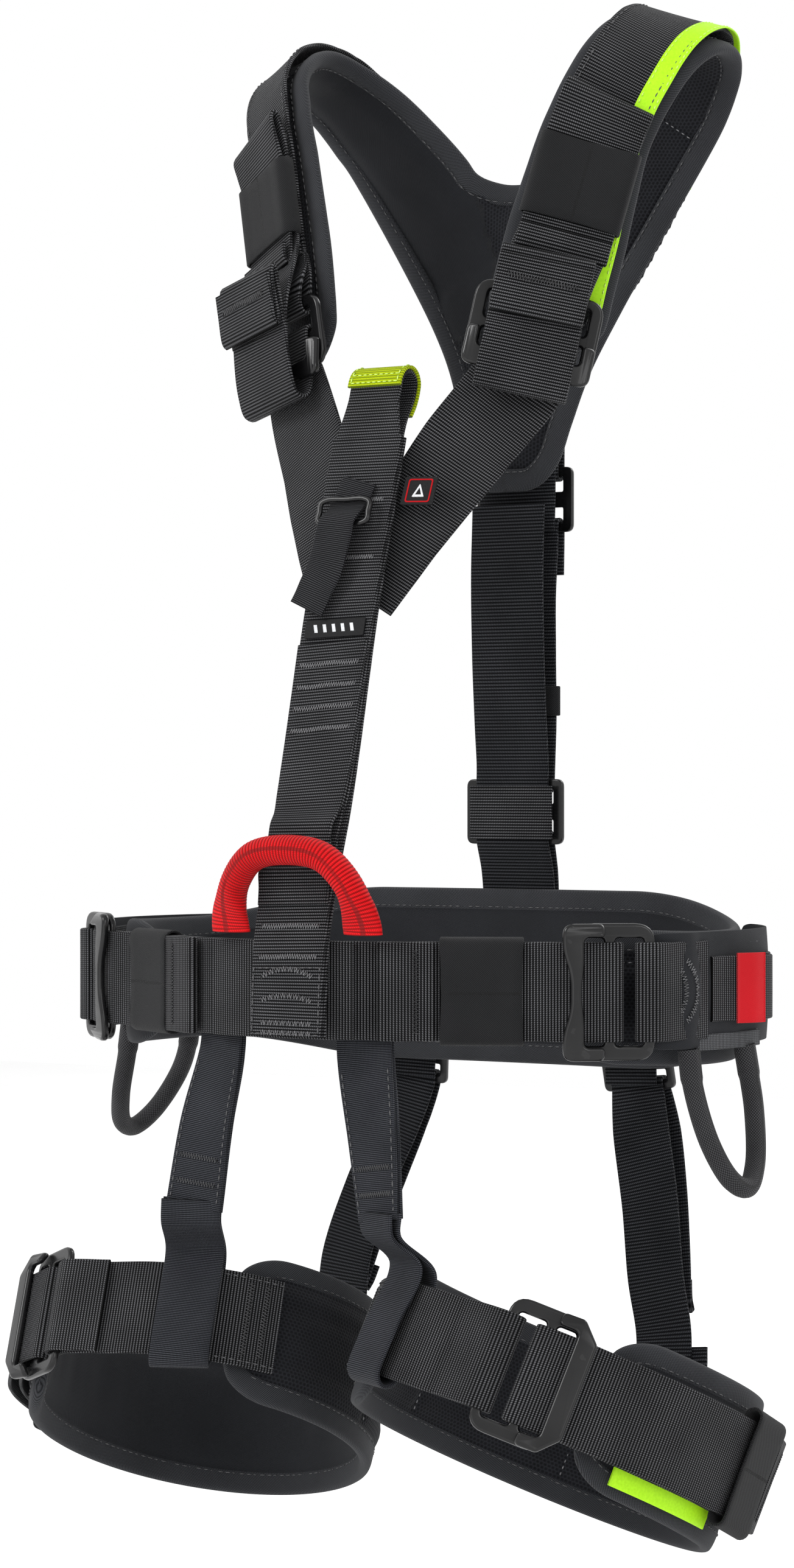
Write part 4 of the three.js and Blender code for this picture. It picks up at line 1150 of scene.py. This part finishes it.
PANEL_ROWS = ((399, 99, 20), (388, 99.5, 56), (370, 100, 96), (350, 99.5, 122), (325, 97, 100), (300, 93, 78),
              (275, 88, 63), (256, 84.5, 52), (243, 82, 34))
SHOULDER_BUCKLES = {
    "left": facing((67.5, -13.5, 303), (0.5, -0.87, 0), (0.15, 0.17, 0.97)),
    "right": facing((67, -15.5, 303), (0.35, -0.94, 0), (0.15, 0.17, 0.97)),
}


def even_steps(values, t):
    step = min(max(t, 0), 1) * (len(values) - 1)
    k = min(int(step), len(values) - 2)
    return mix(values[k], values[k + 1], step - k)


def arm_place(i, h=0.0):
    return ARM.on(ARM.length * i / ARM_STATIONS, h)


def arm_width(t):
    return even_steps(ARM_WIDTHS, t) * round_end(t / 0.07)


def lens(wide, end, full=PAD_THICK / 2):
    """A pad's section without seams, for the pieces that are merged into the yoke."""
    half = wide / 2
    narrow = min(1.0, (half - 2) / 18)
    places = [half - d * narrow for d in (0, 0.6, 2, 4.5, 8, 11, 14, 18)] + [max(half - 19, 1) * 0.5]
    ring = []
    for face in (1, -1):
        across = [-p for p in places] + list(reversed(places))
        for w in across if face > 0 else reversed(across):
            d = min(half - abs(w), end)
            body = 2.4 + (full - 2.4) * smooth(d, 7, 17)
            ring.append((w, face * body * math.sqrt(max(0.03, 1 - (1 - min(d / 2.5, 1)) ** 2))))
    return ring


def yoke_pad():
    """The Y-shaped back pad: a panel and two arms merged, puffed up, then bound round its edge."""
    arms = [Band(swap([arm_place(i) for i in range(ARM_STATIONS + 1)], way), 3.0) for way in (1, -1)]
    panel = Band([(Vector((0, y, z)), Vector((1, 0, 0))) for z, y, _ in PANEL_ROWS], 3.0)
    widths = [w for _, _, w in PANEL_ROWS]
    shapes = [(arm, lambda s, t, a=arm: lens(arm_width(t), s + 0.4)) for arm in arms]
    shapes.append((panel, lambda s, t: lens(even_steps(widths, t), min(s, panel.length - s) + 0.4)))
    verts, faces = [], []
    for band, section in shapes:
        v, f, _, _ = sweep(band, section)
        faces += [tuple(i + len(verts) for i in face) for face in f]
        verts += v
    mesh = bpy.data.meshes.new("yoke_pad")
    mesh.from_pydata([tuple(c * MM for c in v) for v in verts], [], faces)
    piece = bpy.data.objects.new("back_yoke_pad", mesh)
    bpy.context.scene.collection.objects.link(piece)
    remesh = piece.modifiers.new("remesh", "REMESH")
    remesh.mode, remesh.voxel_size, remesh.use_smooth_shade = "VOXEL", 0.0026, True
    relax = piece.modifiers.new("relax", "SMOOTH")
    relax.factor, relax.iterations = 0.5, 4
    whole = bpy.data.meshes.new_from_object(piece.evaluated_get(bpy.context.evaluated_depsgraph_get()))
    piece.modifiers.clear()
    piece.data = whole
    dress_yoke(piece, arms, panel, widths)
    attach(piece, "harness")
    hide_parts("yoke_pad")
    bind_yoke(arms, widths)
    return arms


YOKE_SEAMS = (150.0, 243.0)


def dress_yoke(piece, arms, panel, widths):
    """Finds each vertex's place along the arms or panel, holds edges and seams, and picks its cloth."""
    mesh = piece.data
    tree = KDTree(sum(len(b.frames) for b in (*arms, panel)))
    places = []
    for kind, band in enumerate((*arms, panel)):
        for f, s in zip(band.frames, band.s):
            tree.insert(f.at, len(places))
            places.append((kind, band, f, s))
    tree.balance()
    uvs, held, faces_out, dips = [], [], [], []
    for v in mesh.vertices:
        p = v.co * 1000
        kind, band, f, s = places[tree.find(p)[1]]
        d = p - f.at
        w, u, h = d.dot(f.side), s + d.dot(f.along), d.dot(f.out)
        wide = even_steps(widths, s / band.length) if kind == 2 else arm_width(s / band.length)
        edge = wide / 2 - abs(w)
        seams = (128.0,) if kind == 2 else YOKE_SEAMS
        near_seam = min(abs(u - c) for c in seams)
        inside = f.out.dot(Vector((0, -1, 0))) * h > 0 if kind == 2 else h < 0
        uvs.append((u * MM, w * MM))
        faces_out.append(inside)
        dips.append(math.exp(-(near_seam / 2.0) ** 2) if inside and edge > 9 else 0.0)
        held.append(1.0 if edge < 10 or (inside and near_seam < 2.2) else 0.0)
    for v, dip in zip(mesh.vertices, dips):
        if dip:
            v.co -= v.normal * (1.7 * dip * MM)
    inflate(piece, held, 2.6, YOKE_SWELL)
    layer = mesh.uv_layers.new(name="strap")
    for loop in mesh.loops:
        layer.data[loop.index].uv = uvs[loop.vertex_index]
    mesh.materials.clear()
    mesh.materials.append(MAT["shell"])
    mesh.materials.append(MAT["lining"])
    picks = [1 if sum(faces_out[v] for v in p.vertices) * 2 > len(p.vertices) else 0 for p in mesh.polygons]
    mesh.polygons.foreach_set("material_index", picks)
    mesh.polygons.foreach_set("use_smooth", [True] * len(mesh.polygons))


def binding_section(deep=10.0):
    upper = [(-deep, 2.6), (-deep + 0.5, 3.35), (-deep * 0.55, 3.6), (-2.5, 3.3), (-0.6, 2.4), (0.7, 1.3),
             (1.1, 0)]
    return upper + [(e, -h) for e, h in reversed(upper[:-1])]


def bind_yoke(arms, widths):
    """The binding tape: one closed loop round the whole yoke, folded over its edge."""
    right = []
    tip = ARM.frame(0)
    half = arm_width(0.0) / 2
    for s in range(236, 8, -9):
        f = ARM.frame(s)
        right.append((f.point(0, -(arm_width(s / ARM.length) / 2), 0), -f.side))
    right.append((tip.point(0.5, -half * 0.9, 0), -tip.side - tip.along))
    right.append((tip.point(-0.3, 0, 0), -tip.along))
    right.append((tip.point(0.5, half * 0.9, 0), tip.side - tip.along))
    for s in range(12, 296, 9):
        f = ARM.frame(s)
        right.append((f.point(0, arm_width(s / ARM.length) / 2, 0), f.side.copy()))
    low = along(Vector((1, 0, -0.5)), *((w / 2, y, z) for z, y, w in PANEL_ROWS[7:4:-1]))
    low.append((Vector((54, 97.5, 330)), Vector((1, 0, -0.3))))
    bottom = [(Vector((0, 81.5, 243)), Vector((0, 0, -1))), (Vector((13, 82, 243.5)), Vector((0.1, 0, -1))),
              (Vector((19, 83, 247)), Vector((1, 0, -0.9)))]
    start = bottom + low + right
    neck = [(Vector((13, 98, 399.5)), Vector((-0.2, 0, 1))), (Vector((0, 98.8, 398.5)), Vector((0, 0, 1)))]
    band = Band(start + neck + swap(reversed(start[1:] + neck[:1]), -1), 2.2, True)
    verts, faces, uvs, _ = sweep(band, lambda s, t: binding_section())
    make("yoke_binding", verts, faces, MAT["binding"], "harness", (), "pad", uvs)
    t = threads("harness")
    for sign in (1, -1):
        place = lambda s, w, sign=sign: band.frame(s).point(0, w, sign * 3.7)
        t.dashes(place, [(band.length * k / 150, -8.4) for k in range(150)])
    pale = threads("harness", "pale_thread")
    for arm in arms:
        for c in YOKE_SEAMS:
            place = lambda s, w, arm=arm: arm.frame(s).point(0, w, -(PAD_THICK / 2 - 0.6))
            wide = arm_width(c / arm.length) / 2 - 11
            pale.dashes(place, [(c, -wide), (c, wide)], 1.6, 1.6)


def lime_strip():
    """A bright strip sewn beside the webbing, along the outer side of the left shoulder."""
    route = []
    for i in range(2, 24):
        f = ARM.frame(ARM.length * i / ARM_STATIONS)
        edge = arm_width(i / ARM_STATIONS) / 2
        lift = ON_PAD + (2.7 if i > 2 else 1.8)
        route.append((f.point(0, -(edge - 8.2), lift - 0.8), f.side))
    band = webbing("shoulder_lime_strip_left", route, "harness", (), MAT["lime"], 10.5, 0.8, slot="lime_tape",
                   ripple=0.1, seed=25)
    t = threads("harness", "lime_thread")
    for w in (-4, 4):
        t.dashes(lambda s, w: band.frame(s).point(0, w, 0.5), [(band.length * k / 60, w) for k in range(60)],
                 2.2, 1.1)


def shoulder(side, way):
    """One side's webbing: sewn along the arm of the yoke, and up from the chest through its adjuster."""
    b = SHOULDER_BUCKLES[side]
    fold = [b.near(u, h) for u, h in LOOP_TURN]
    route = [ARM.on(55, ON_PAD + 3.6), ARM.on(46, ON_PAD + 3.7), b.near(32, 4.8), *fold]
    route += [arm_place(i, ON_PAD + (2.1 if i > 22 else 1)) for i in range(4, ARM_STATIONS)]
    band = webbing(f"shoulder_webbing_{side}", swap(route, way), "harness", [f"shoulder_web_{side}"],
                   width=42, seed=27 + way)
    t = threads("harness")
    real = lambda s: band.where(turned(ARM.on(s, ON_PAD)[0], way))

    def outer(s, w):
        f = band.frame(s)
        sign = 1 if f.out.dot(f.at - Vector((way * 60, 50, 380))) > 0 else -1
        return f.point(0, w, sign * 1.2)
    for w in (-18.5, 18.5):
        t.dashes(outer, straight(real(110), real(310), w, 50))
    start = Vector((0.47, 0.36, 0.8)).normalized()
    low = []
    for d in (0, 16, 36, 60, 86):
        turn = smooth(d, 30, 120)
        low.append((Vector((2, -64.5, 184)) + start * d,
                    Vector((-0.88, 0.05, 0.5)).lerp(b.side, turn).normalized()))
    up = [b.near(u, h) for u, h in ((-20, 7.4), (-25, 11), (-24, 16), (-14, 18.5), (4, 18.5), (22, 16))]
    flat = [ARM.on(s, ON_PAD + 5.2) for s in (58, 70, 84, 98)]
    over = [ARM.on(s, ON_PAD + h) for s, h in (
        (112, 5.6), (119, 7), (121.5, 9), (118.5, 11), (110, 10.4), (98, 8.8), (84, 8.4), (66, 8.4), (52, 9),
        (45, 10), (43, 11.6), (45.5, 13.2), (54, 12.6))]
    route = low + [b.near(u, h) for u, h in TURN] + up + flat + over
    webbing(f"chest_webbing_{side}", swap(route, way), "harness", ["chest_strap"] if way > 0 else (),
                    seed=31 + way)
    adjuster("shoulder", side, on_half(b, way), "harness", f"shoulder_slider_{side}")
    sleeve(f"shoulder_sleeve_{side}", on_half(ARM.frame(79), way), 40, WEB_WIDE, ON_PAD + 3.6, ON_PAD + 10.5,
           "harness", [f"shoulder_keeper_{side}"], seed=5 + way)
    stopper_tab(side, way, b)


def stopper_tab(side, way, b):
    """The strap's end, folded three times and sewn flat, that keeps it from slipping out of its adjuster."""
    route = [b.near(u, h) for u, h in ((10, 19.8), (26, 20.6), (38, 20.9), (41, 22.2), (38, 23.6), (24, 23.4),
                                       (13, 22.8), (11, 24.2), (13, 25.6), (26, 26.1), (37, 26.3))]
    route = [(p - b.out * 1.2, s) for p, s in route]
    webbing(f"chest_stopper_{side}", swap(route, way), "harness", seed=35 + way)
    threads("harness").tack(lambda u, w: turned(b.point(u, w, 26.6), way), 27, -17, 27, 17, 1.4, 3.0, 0.4)


# ---- the back ----
BACK_BUCKLE, YOKE_BUCKLE = (0, 88, 80), (0, 98, 238)
BAR_TURN = ((-3.1, 14.5), (-2.8, 11.3), (0, 10.1), (2.8, 11.3), (3.1, 14.5))


def mid_route(places):
    return [(Vector((0, y, z)), Vector((1, 0, 0))) for y, z in places]


def bar_fold(at, way):
    return [(at[1] + dy, at[2] + way * dz) for dy, dz in BAR_TURN]


def back():
    strap = [(81, 235), (79.5, 200), (80.5, 160), (83, 125), (85, 104), *bar_fold(BACK_BUCKLE, 1), (92, 108),
             (93, 125), (92.5, 160), (92.5, 190), (94.5, 212), *bar_fold(YOKE_BUCKLE, -1), (100.8, 200)]
    lower = [(92.4, -15), (92.4, 10), (92.2, 32), (90, 50), *bar_fold(BACK_BUCKLE, -1), (94.6, 50),
             (95.8, 33)]
    upper = [(107, 350), (105, 326), (101, 301), (96.7, 276), (95, 260), *bar_fold(YOKE_BUCKLE, 1),
             (101.4, 265), (103, 282)]
    for name, places, node, seed in (("back_webbing", strap, "back_strap", 41),
                                     ("lumbar_webbing", lower, "lumbar_strap", 43),
                                     ("yoke_webbing", upper, "yoke_web", 45)):
        webbing(name, mid_route(places), "harness", [node], MAT["back_web"], WEB_BACK, seed=seed)
    half = WEB_BACK / 2 + 1.5
    loops = [rectangle(-16.5, 16.5, half + 5.5, 4), rectangle(4, 12, half, 1), rectangle(-12, -4, half, 1)]
    for place, at in (("lumbar", BACK_BUCKLE), ("yoke", YOKE_BUCKLE)):
        plate(f"{place}_ladder", loops, -1.3, 1.3, facing(at, (0, 1, 0), UP), "harness", [f"{place}_buckle"],
              "alloy", MAT["black"], 0.8)
    g = facing((0, 92.9, 136), (0, 1, 0), UP)
    sleeve("back_elastic", g, 15, WEB_BACK, -1.6, 1.6, "back_keeper", ["back_keeper"], seed=3)
    h = facing(BACK_BUCKLE, (0, 1, 0), UP)
    front_band = [(h.point(u, 0, -4.6), h.side) for u in (-14, -5, 4, 13)]
    webbing("lumbar_wrap", front_band, "harness", (), MAT["webbing"], WEB_BACK + 6, 1.4, seed=47)
    flap = [(90.4, 262), (90.2, 246), (90, 233), (89.6, 222)]
    webbing("yoke_flap", mid_route(flap), "harness", (), MAT["back_web"], WEB_BACK + 2, 1.6, seed=49)
    t = threads("harness")
    inner = lambda u, w: Vector((w, 90.9, u))
    for u in (36, 41, 46):
        t.tack(inner, u, -18, u, 18)
    panel = lambda u, w: Vector((w, mix(97.6, 109.2, (u - 260) / 90.0) + 0.2, u))
    for z in (300, 318, 336):
        t.tack(panel, z, -18, z, 18)


# ---- the legs ----
LEG_FROM, LEG_TO, LEG_BUCKLE_AT, LEG_KEEPER_AT, RISER_AT = 66, -150, -66, 6, -118
RISER_SEAM = (52.5, -122.5, -108)
REAR_BUCKLE = facing((66, 96, -47), (0.05, 1, 0.12), (-0.1, -0.12, 1))
REAR_TURN = ((-3.1, 11), (-2.8, 7.3), (0, 6.1), (2.8, 7.3), (3.1, 11))


def leg_up(fall):
    return Vector((fall[0] / LEG_RADIUS, fall[1] / LEG_RADIUS, 1)).normalized()


def leg_point(fall, degrees, radius, h=0.0):
    c, s = math.cos(math.radians(degrees)), math.sin(math.radians(degrees))
    x, y, z = LEG_CENTRE
    share = radius / LEG_RADIUS
    at = Vector((x + radius * c, y + radius * s, z - (fall[0] * c + fall[1] * s) * share))
    return at + leg_up(fall) * h


class Leg:
    """One leg loop: places along it by degrees round the thigh, on either side of the harness."""

    def __init__(self, side, way):
        self.side, self.way, self.fall = side, way, LEG_FALL[side]
        points = [leg_point(self.fall, a, LEG_RADIUS) for a in range(LEG_FROM, LEG_TO - 1, -12)]
        self.track = Track(points, -leg_up(self.fall))
        self.body = f"leg_loop_{side}"

    def place(self, degrees):
        return self.track.length * (LEG_FROM - degrees) / (LEG_FROM - LEG_TO)

    def face(self, h):
        return lambda u, w: turned(self.track.frame(u).point(0, w, h), self.way)


def leg_pad(leg):
    first, last = -50, 229
    route = []
    for i in range(15):
        degrees = first + (last - first) * i / 14
        route.append((leg_point(leg.fall, degrees, LEG_RADIUS - ON_PAD - 0.1), leg_up(leg.fall)))

    def width_at(share):
        return (LEG_PAD_HEIGHT + 6 * math.sin(math.pi * share)) * round_end(min(share, 1 - share) / 0.06)
    pad(f"leg_pad_{leg.side}_quilted", swap(route, leg.way), width_at, leg.body, f"leg_pad_{leg.side}",
        rows=(-13.0, 13.0), columns=(60.0, 150.0, 240.0, 330.0))


def leg_straps(leg):
    side, way, track, s = leg.side, leg.way, leg.track, leg.place
    at = s(LEG_BUCKLE_AT)
    before = [track.on(s(a), 0) for a in (56, 40, 20, 5, -12, -28, -44)]
    after = [track.on(at - 26, 5.4)] + [track.on(s(a), 6) for a in (-30, -12, 4, 18)]
    route = [*before, *turn_back(track.frame(at)), *after, *stopper(track, s(26), 6, -2.5)]
    webbing(f"leg_webbing_{side}", swap(route, way), leg.body, [f"leg_strap_{side}"], seed=51 + way)
    inner = [track.on(s(a), 0) for a in (-108, -120, -134, -146)]
    sewn = sewn_end(track, at)[1:] + inner
    webbing(f"leg_sewn_webbing_{side}", swap(sewn, way), leg.body, [f"leg_web_{side}"], seed=53 + way)
    adjuster("leg", side, on_half(track.frame(at), way), leg.body, f"leg_slider_{side}")
    sleeve(f"leg_elastic_{side}", on_half(track.frame(s(LEG_KEEPER_AT)), way), 32, WEB_WIDE + 7, 3.2, 9.0,
           leg.body, [f"leg_keeper_{side}"], seed=2 + way)
    t = threads(leg.body)
    pale = threads(leg.body, "pale_thread")
    pale.tack(leg.face(10.2), s(26) + 3, -17, s(26) + 7, 17, 1.2, 2.8, 0.4)
    for degrees in (-136, -141):
        t.tack(leg.face(1.25), s(degrees), -18, s(degrees), 18)
    for w in (-20, 20):
        t.dashes(leg.face(1.2), [(s(-146), w), (s(-128), w)])
    if way < 0:
        return
    route = along(leg_up(leg.fall), *(leg_point(leg.fall, a, LEG_RADIUS - 1.1, -25.5)
                                      for a in (-38, -28, -18, -8, 0)))
    webbing(f"leg_lime_strip_{side}", swap(route, way), leg.body, (), MAT["lime"], 11, 0.8, slot="lime_tape",
            ripple=0.1, seed=55)


def riser(leg):
    """Doubled webbing from inside the belt to its seam, bent where it leaves the belt."""
    belt = WAIST.frame(41)
    inside = belt.at - belt.out * 5.6
    line = [(inside.x, inside.y, 15), (inside.x, inside.y, -10), (inside.x + 0.6, inside.y - 0.6, -30),
            (46, -119.6, -64), (51.6, -122, RISER_SEAM[2] + 4)]
    route = [(Vector(p), Vector((1, 0.5 - turn, 0)).normalized())
             for p, turn in zip(line, (0.23, 0.23, 0.3, 0.55, 0.8))]
    side, way = leg.side, leg.way
    layers = []
    for k, h in enumerate((-1.05, 1.05)):
        shifted = [(p + Vector((s.y, -s.x, 0)) * h, s) for p, s in route]
        band = webbing(f"leg_riser_webbing_{side}_{k}", swap(shifted, way), "",
                       [f"leg_riser_{side}"] if k else (), MAT["riser"], WEB_RISER - k, 1.9, seed=57 + k)
        layers.append(band)
        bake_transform(band.object)
    front = layers[1]
    t = threads(f"leg_riser_{side}")
    sign = 1 if front.frame(60).out.y < 0 else -1
    place = lambda u, w: front.frame(u).point(0, w, sign * 1.15)
    for u in (front.length - 12, front.length - 24):
        t.tack(place, u, -10, u, 10, 1.3, 2.4)
    for w in (-11.5, 11.5):
        t.dashes(place, [(52, w), (front.length - 4, w)])


def hitch(leg):
    """The loop at the riser's foot, round the webbing of the leg loop."""
    side_way = Vector((0.88, -0.47, 0))
    half = WEB_WIDE / 2
    x, y, z = RISER_SEAM
    wrap = ((4.4, half + 6), (4.6, 0), (4.2, -half - 1), (0, -half - 4.2), (-4.2, -half - 1), (-4.6, 0),
            (-3.2, half + 6))
    around = [(leg_point(leg.fall, RISER_AT, LEG_RADIUS + h, up), side_way) for h, up in wrap]
    start = [(Vector((x - 1.6, y - 2.6, z + 8)), side_way), (Vector((x - 0.8, y - 1.9, z - 2)), side_way)]
    end = [(Vector((x + 1.0, y + 1.5, z - 2)), side_way), (Vector((x + 0.6, y + 2.2, z + 8)), side_way)]
    band = webbing(f"leg_hitch_webbing_{leg.side}", swap(start + around + end, leg.way), "",
                   [f"leg_hitch_{leg.side}"], MAT["riser"], WEB_RISER, 1.9, seed=61)
    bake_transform(band.object)


def rear(leg):
    """The strap from the back of the belt down to the leg loop, through its ladder."""
    side, way = leg.side, leg.way
    foot = leg_point(leg.fall, 90, LEG_RADIUS, LEG_PAD_HEIGHT / 2 + 6)
    places = [(foot.x - 8, foot.y, foot.z), (foot.x - 10, foot.y + 4, foot.z + 20), (90, 70, -148),
              (82, 79, -113), (71, 90, -78)]
    up = [(Vector(p), Vector((1, 0.02 * i, 0)).normalized()) for i, p in enumerate(places)]
    fold = lambda way: [REAR_BUCKLE.near(way * u, h) for h, u in REAR_TURN]
    tail = along(Vector((1, 0.1, 0)).normalized(), (73, 99, -80), (80.5, 91, -108), (87.5, 81, -136),
                 (92, 74, -158), (92.8, 73, -162), (92.4, 74.4, -163.8), (91.4, 76, -161.4),
                 (89.2, 79.6, -152))
    body = f"rear_strap_{side}"
    webbing(f"rear_webbing_{side}", swap(up + fold(-1) + tail, way), body, [body], MAT["back_web"],
            WEB_NARROW, seed=63 + way)
    line = Vector((1, -0.12, 0)).normalized()
    hang = along(line, (63, 98.8, 14), (63.4, 98.6, -6), (64.2, 97.2, -24))
    over = along(line, (64.6, 101.6, -24), (64.2, 102.4, -8))
    webbing(f"rear_hanger_webbing_{side}", swap(hang + fold(1) + over, way), "harness",
            [f"rear_hanger_{side}"], MAT["back_web"], WEB_NARROW, seed=67 + way)
    flap = along(line, (64.4, 90.4, -26), (65, 90.2, -42), (65.6, 89.8, -56))
    webbing(f"rear_flap_{side}", swap(flap, way), "harness", (), MAT["back_web"], WEB_NARROW + 1, 1.6,
            seed=73)
    loops = [rectangle(-12, 12, 20.5, 3.5), rectangle(2, 8, 16.5, 1), rectangle(-8, -2, 16.5, 1)]
    plate(f"rear_ladder_{side}", loops, -1.5, 1.5, on_half(REAR_BUCKLE, way), "harness",
          [f"rear_buckle_{side}"], "plastic", MAT["plastic"], 0.9)
    pad_face = [leg_point(leg.fall, 90, LEG_RADIUS - 0.6, u) for u in (-22, -8, 8, 22, 34)]
    tab = along(Vector((1, 0, 0)), *pad_face, (foot.x - 0.3, foot.y + 1.6, foot.z + 2),
                (foot.x - 1.4, foot.y + 4.8, foot.z + 13))
    webbing(f"rear_tab_{side}", swap(tab, way), leg.body, (), MAT["back_web"], WEB_NARROW, seed=71)
    t = threads(leg.body)
    place = lambda a, w: turned(leg_point(leg.fall, 90, LEG_RADIUS + 0.8, a) + Vector((w, 0, 0)), way)
    for u in (-16, -6, 4):
        t.tack(place, u, -12, u, 12)


# ---- floor, light and camera ----
FLOOR_BELOW = 60
LAMPS = (("key", (-1.3, -2.2, 1.7), 42, 1.1), ("fill", (2.2, -1.5, 0.9), 14, 1.3),
         ("back", (0.8, 2.0, 1.9), 26, 1.2), ("low", (0.2, -2.4, -0.1), 6, 1.2))
CAMERA_TURN, CAMERA_DISTANCE, CAMERA_SHIFT, CAMERA_HEIGHT, CAMERA_LENS = 32, 1850, -13.4, 94, 87.13


def floor_and_light():
    low = cad_box[0][2] * 1000 - FLOOR_BELOW
    size, count = 6000.0, 40
    steps = [size * (i / count - 0.5) for i in range(count + 1)]
    verts = [Vector((x, y, low)) for x in steps for y in steps]
    corners = [i * (count + 1) + j for i in range(count) for j in range(count)]
    faces = [(a, a + count + 1, a + count + 2, a + 1) for a in corners]
    n = Nodes("floor")
    material = n.finish(n.ramp(n.noise(3.0), [(0.3, 0.9), (0.8, 0.93)]), 0.9)
    make("floor", verts, faces, material, "", smoothed=False)
    world = bpy.data.worlds.new("studio")
    bpy.context.scene.world = world
    world.use_nodes = True
    world.node_tree.nodes["Background"].inputs[0].default_value = (1, 1, 1, 1)
    world.node_tree.nodes["Background"].inputs[1].default_value = 1.0
    for name, at, energy, size in LAMPS:
        data = bpy.data.lights.new(name, "AREA")
        data.energy, data.size = energy, size
        lamp = bpy.data.objects.new(name, data)
        bpy.context.scene.collection.objects.link(lamp)
        lamp.location = at
        lamp.rotation_euler = (Vector((0, 0, 0.08)) - Vector(at)).to_track_quat("-Z", "Y").to_euler()


def camera():
    turn = math.radians(CAMERA_TURN)
    toward = Vector((math.sin(turn), -math.cos(turn), 0))
    right = Vector((math.cos(turn), math.sin(turn), 0))
    data = bpy.data.cameras.new("camera")
    data.lens, data.sensor_width, data.sensor_fit = CAMERA_LENS, 36, "AUTO"
    made = bpy.data.objects.new("camera", data)
    bpy.context.scene.collection.objects.link(made)
    made.location = (toward * CAMERA_DISTANCE + right * CAMERA_SHIFT + UP * CAMERA_HEIGHT) * MM
    made.rotation_euler = (math.pi / 2, 0, turn)
    bpy.context.scene.camera = made


belt_pad()
belt_back()
belt_front()
lateral_loops()
gear_loop("left", 1, 194, 238, 64, 14)
gear_loop("right", -1, 222, 268, 56, 22)
bridge()
sternal_strap()
sternal_patch()
accessory()
yoke_pad()
lime_strip()
back()
for side, way in SIDES:
    shoulder(side, way)
    leg = Leg(side, way)
    leg_pad(leg)
    leg_straps(leg)
    riser(leg)
    hitch(leg)
    rear(leg)
for sewing in THREADS.values():
    sewing.finish()
floor_and_light()
camera()
bpy.context.scene.view_settings.view_transform = "Standard"
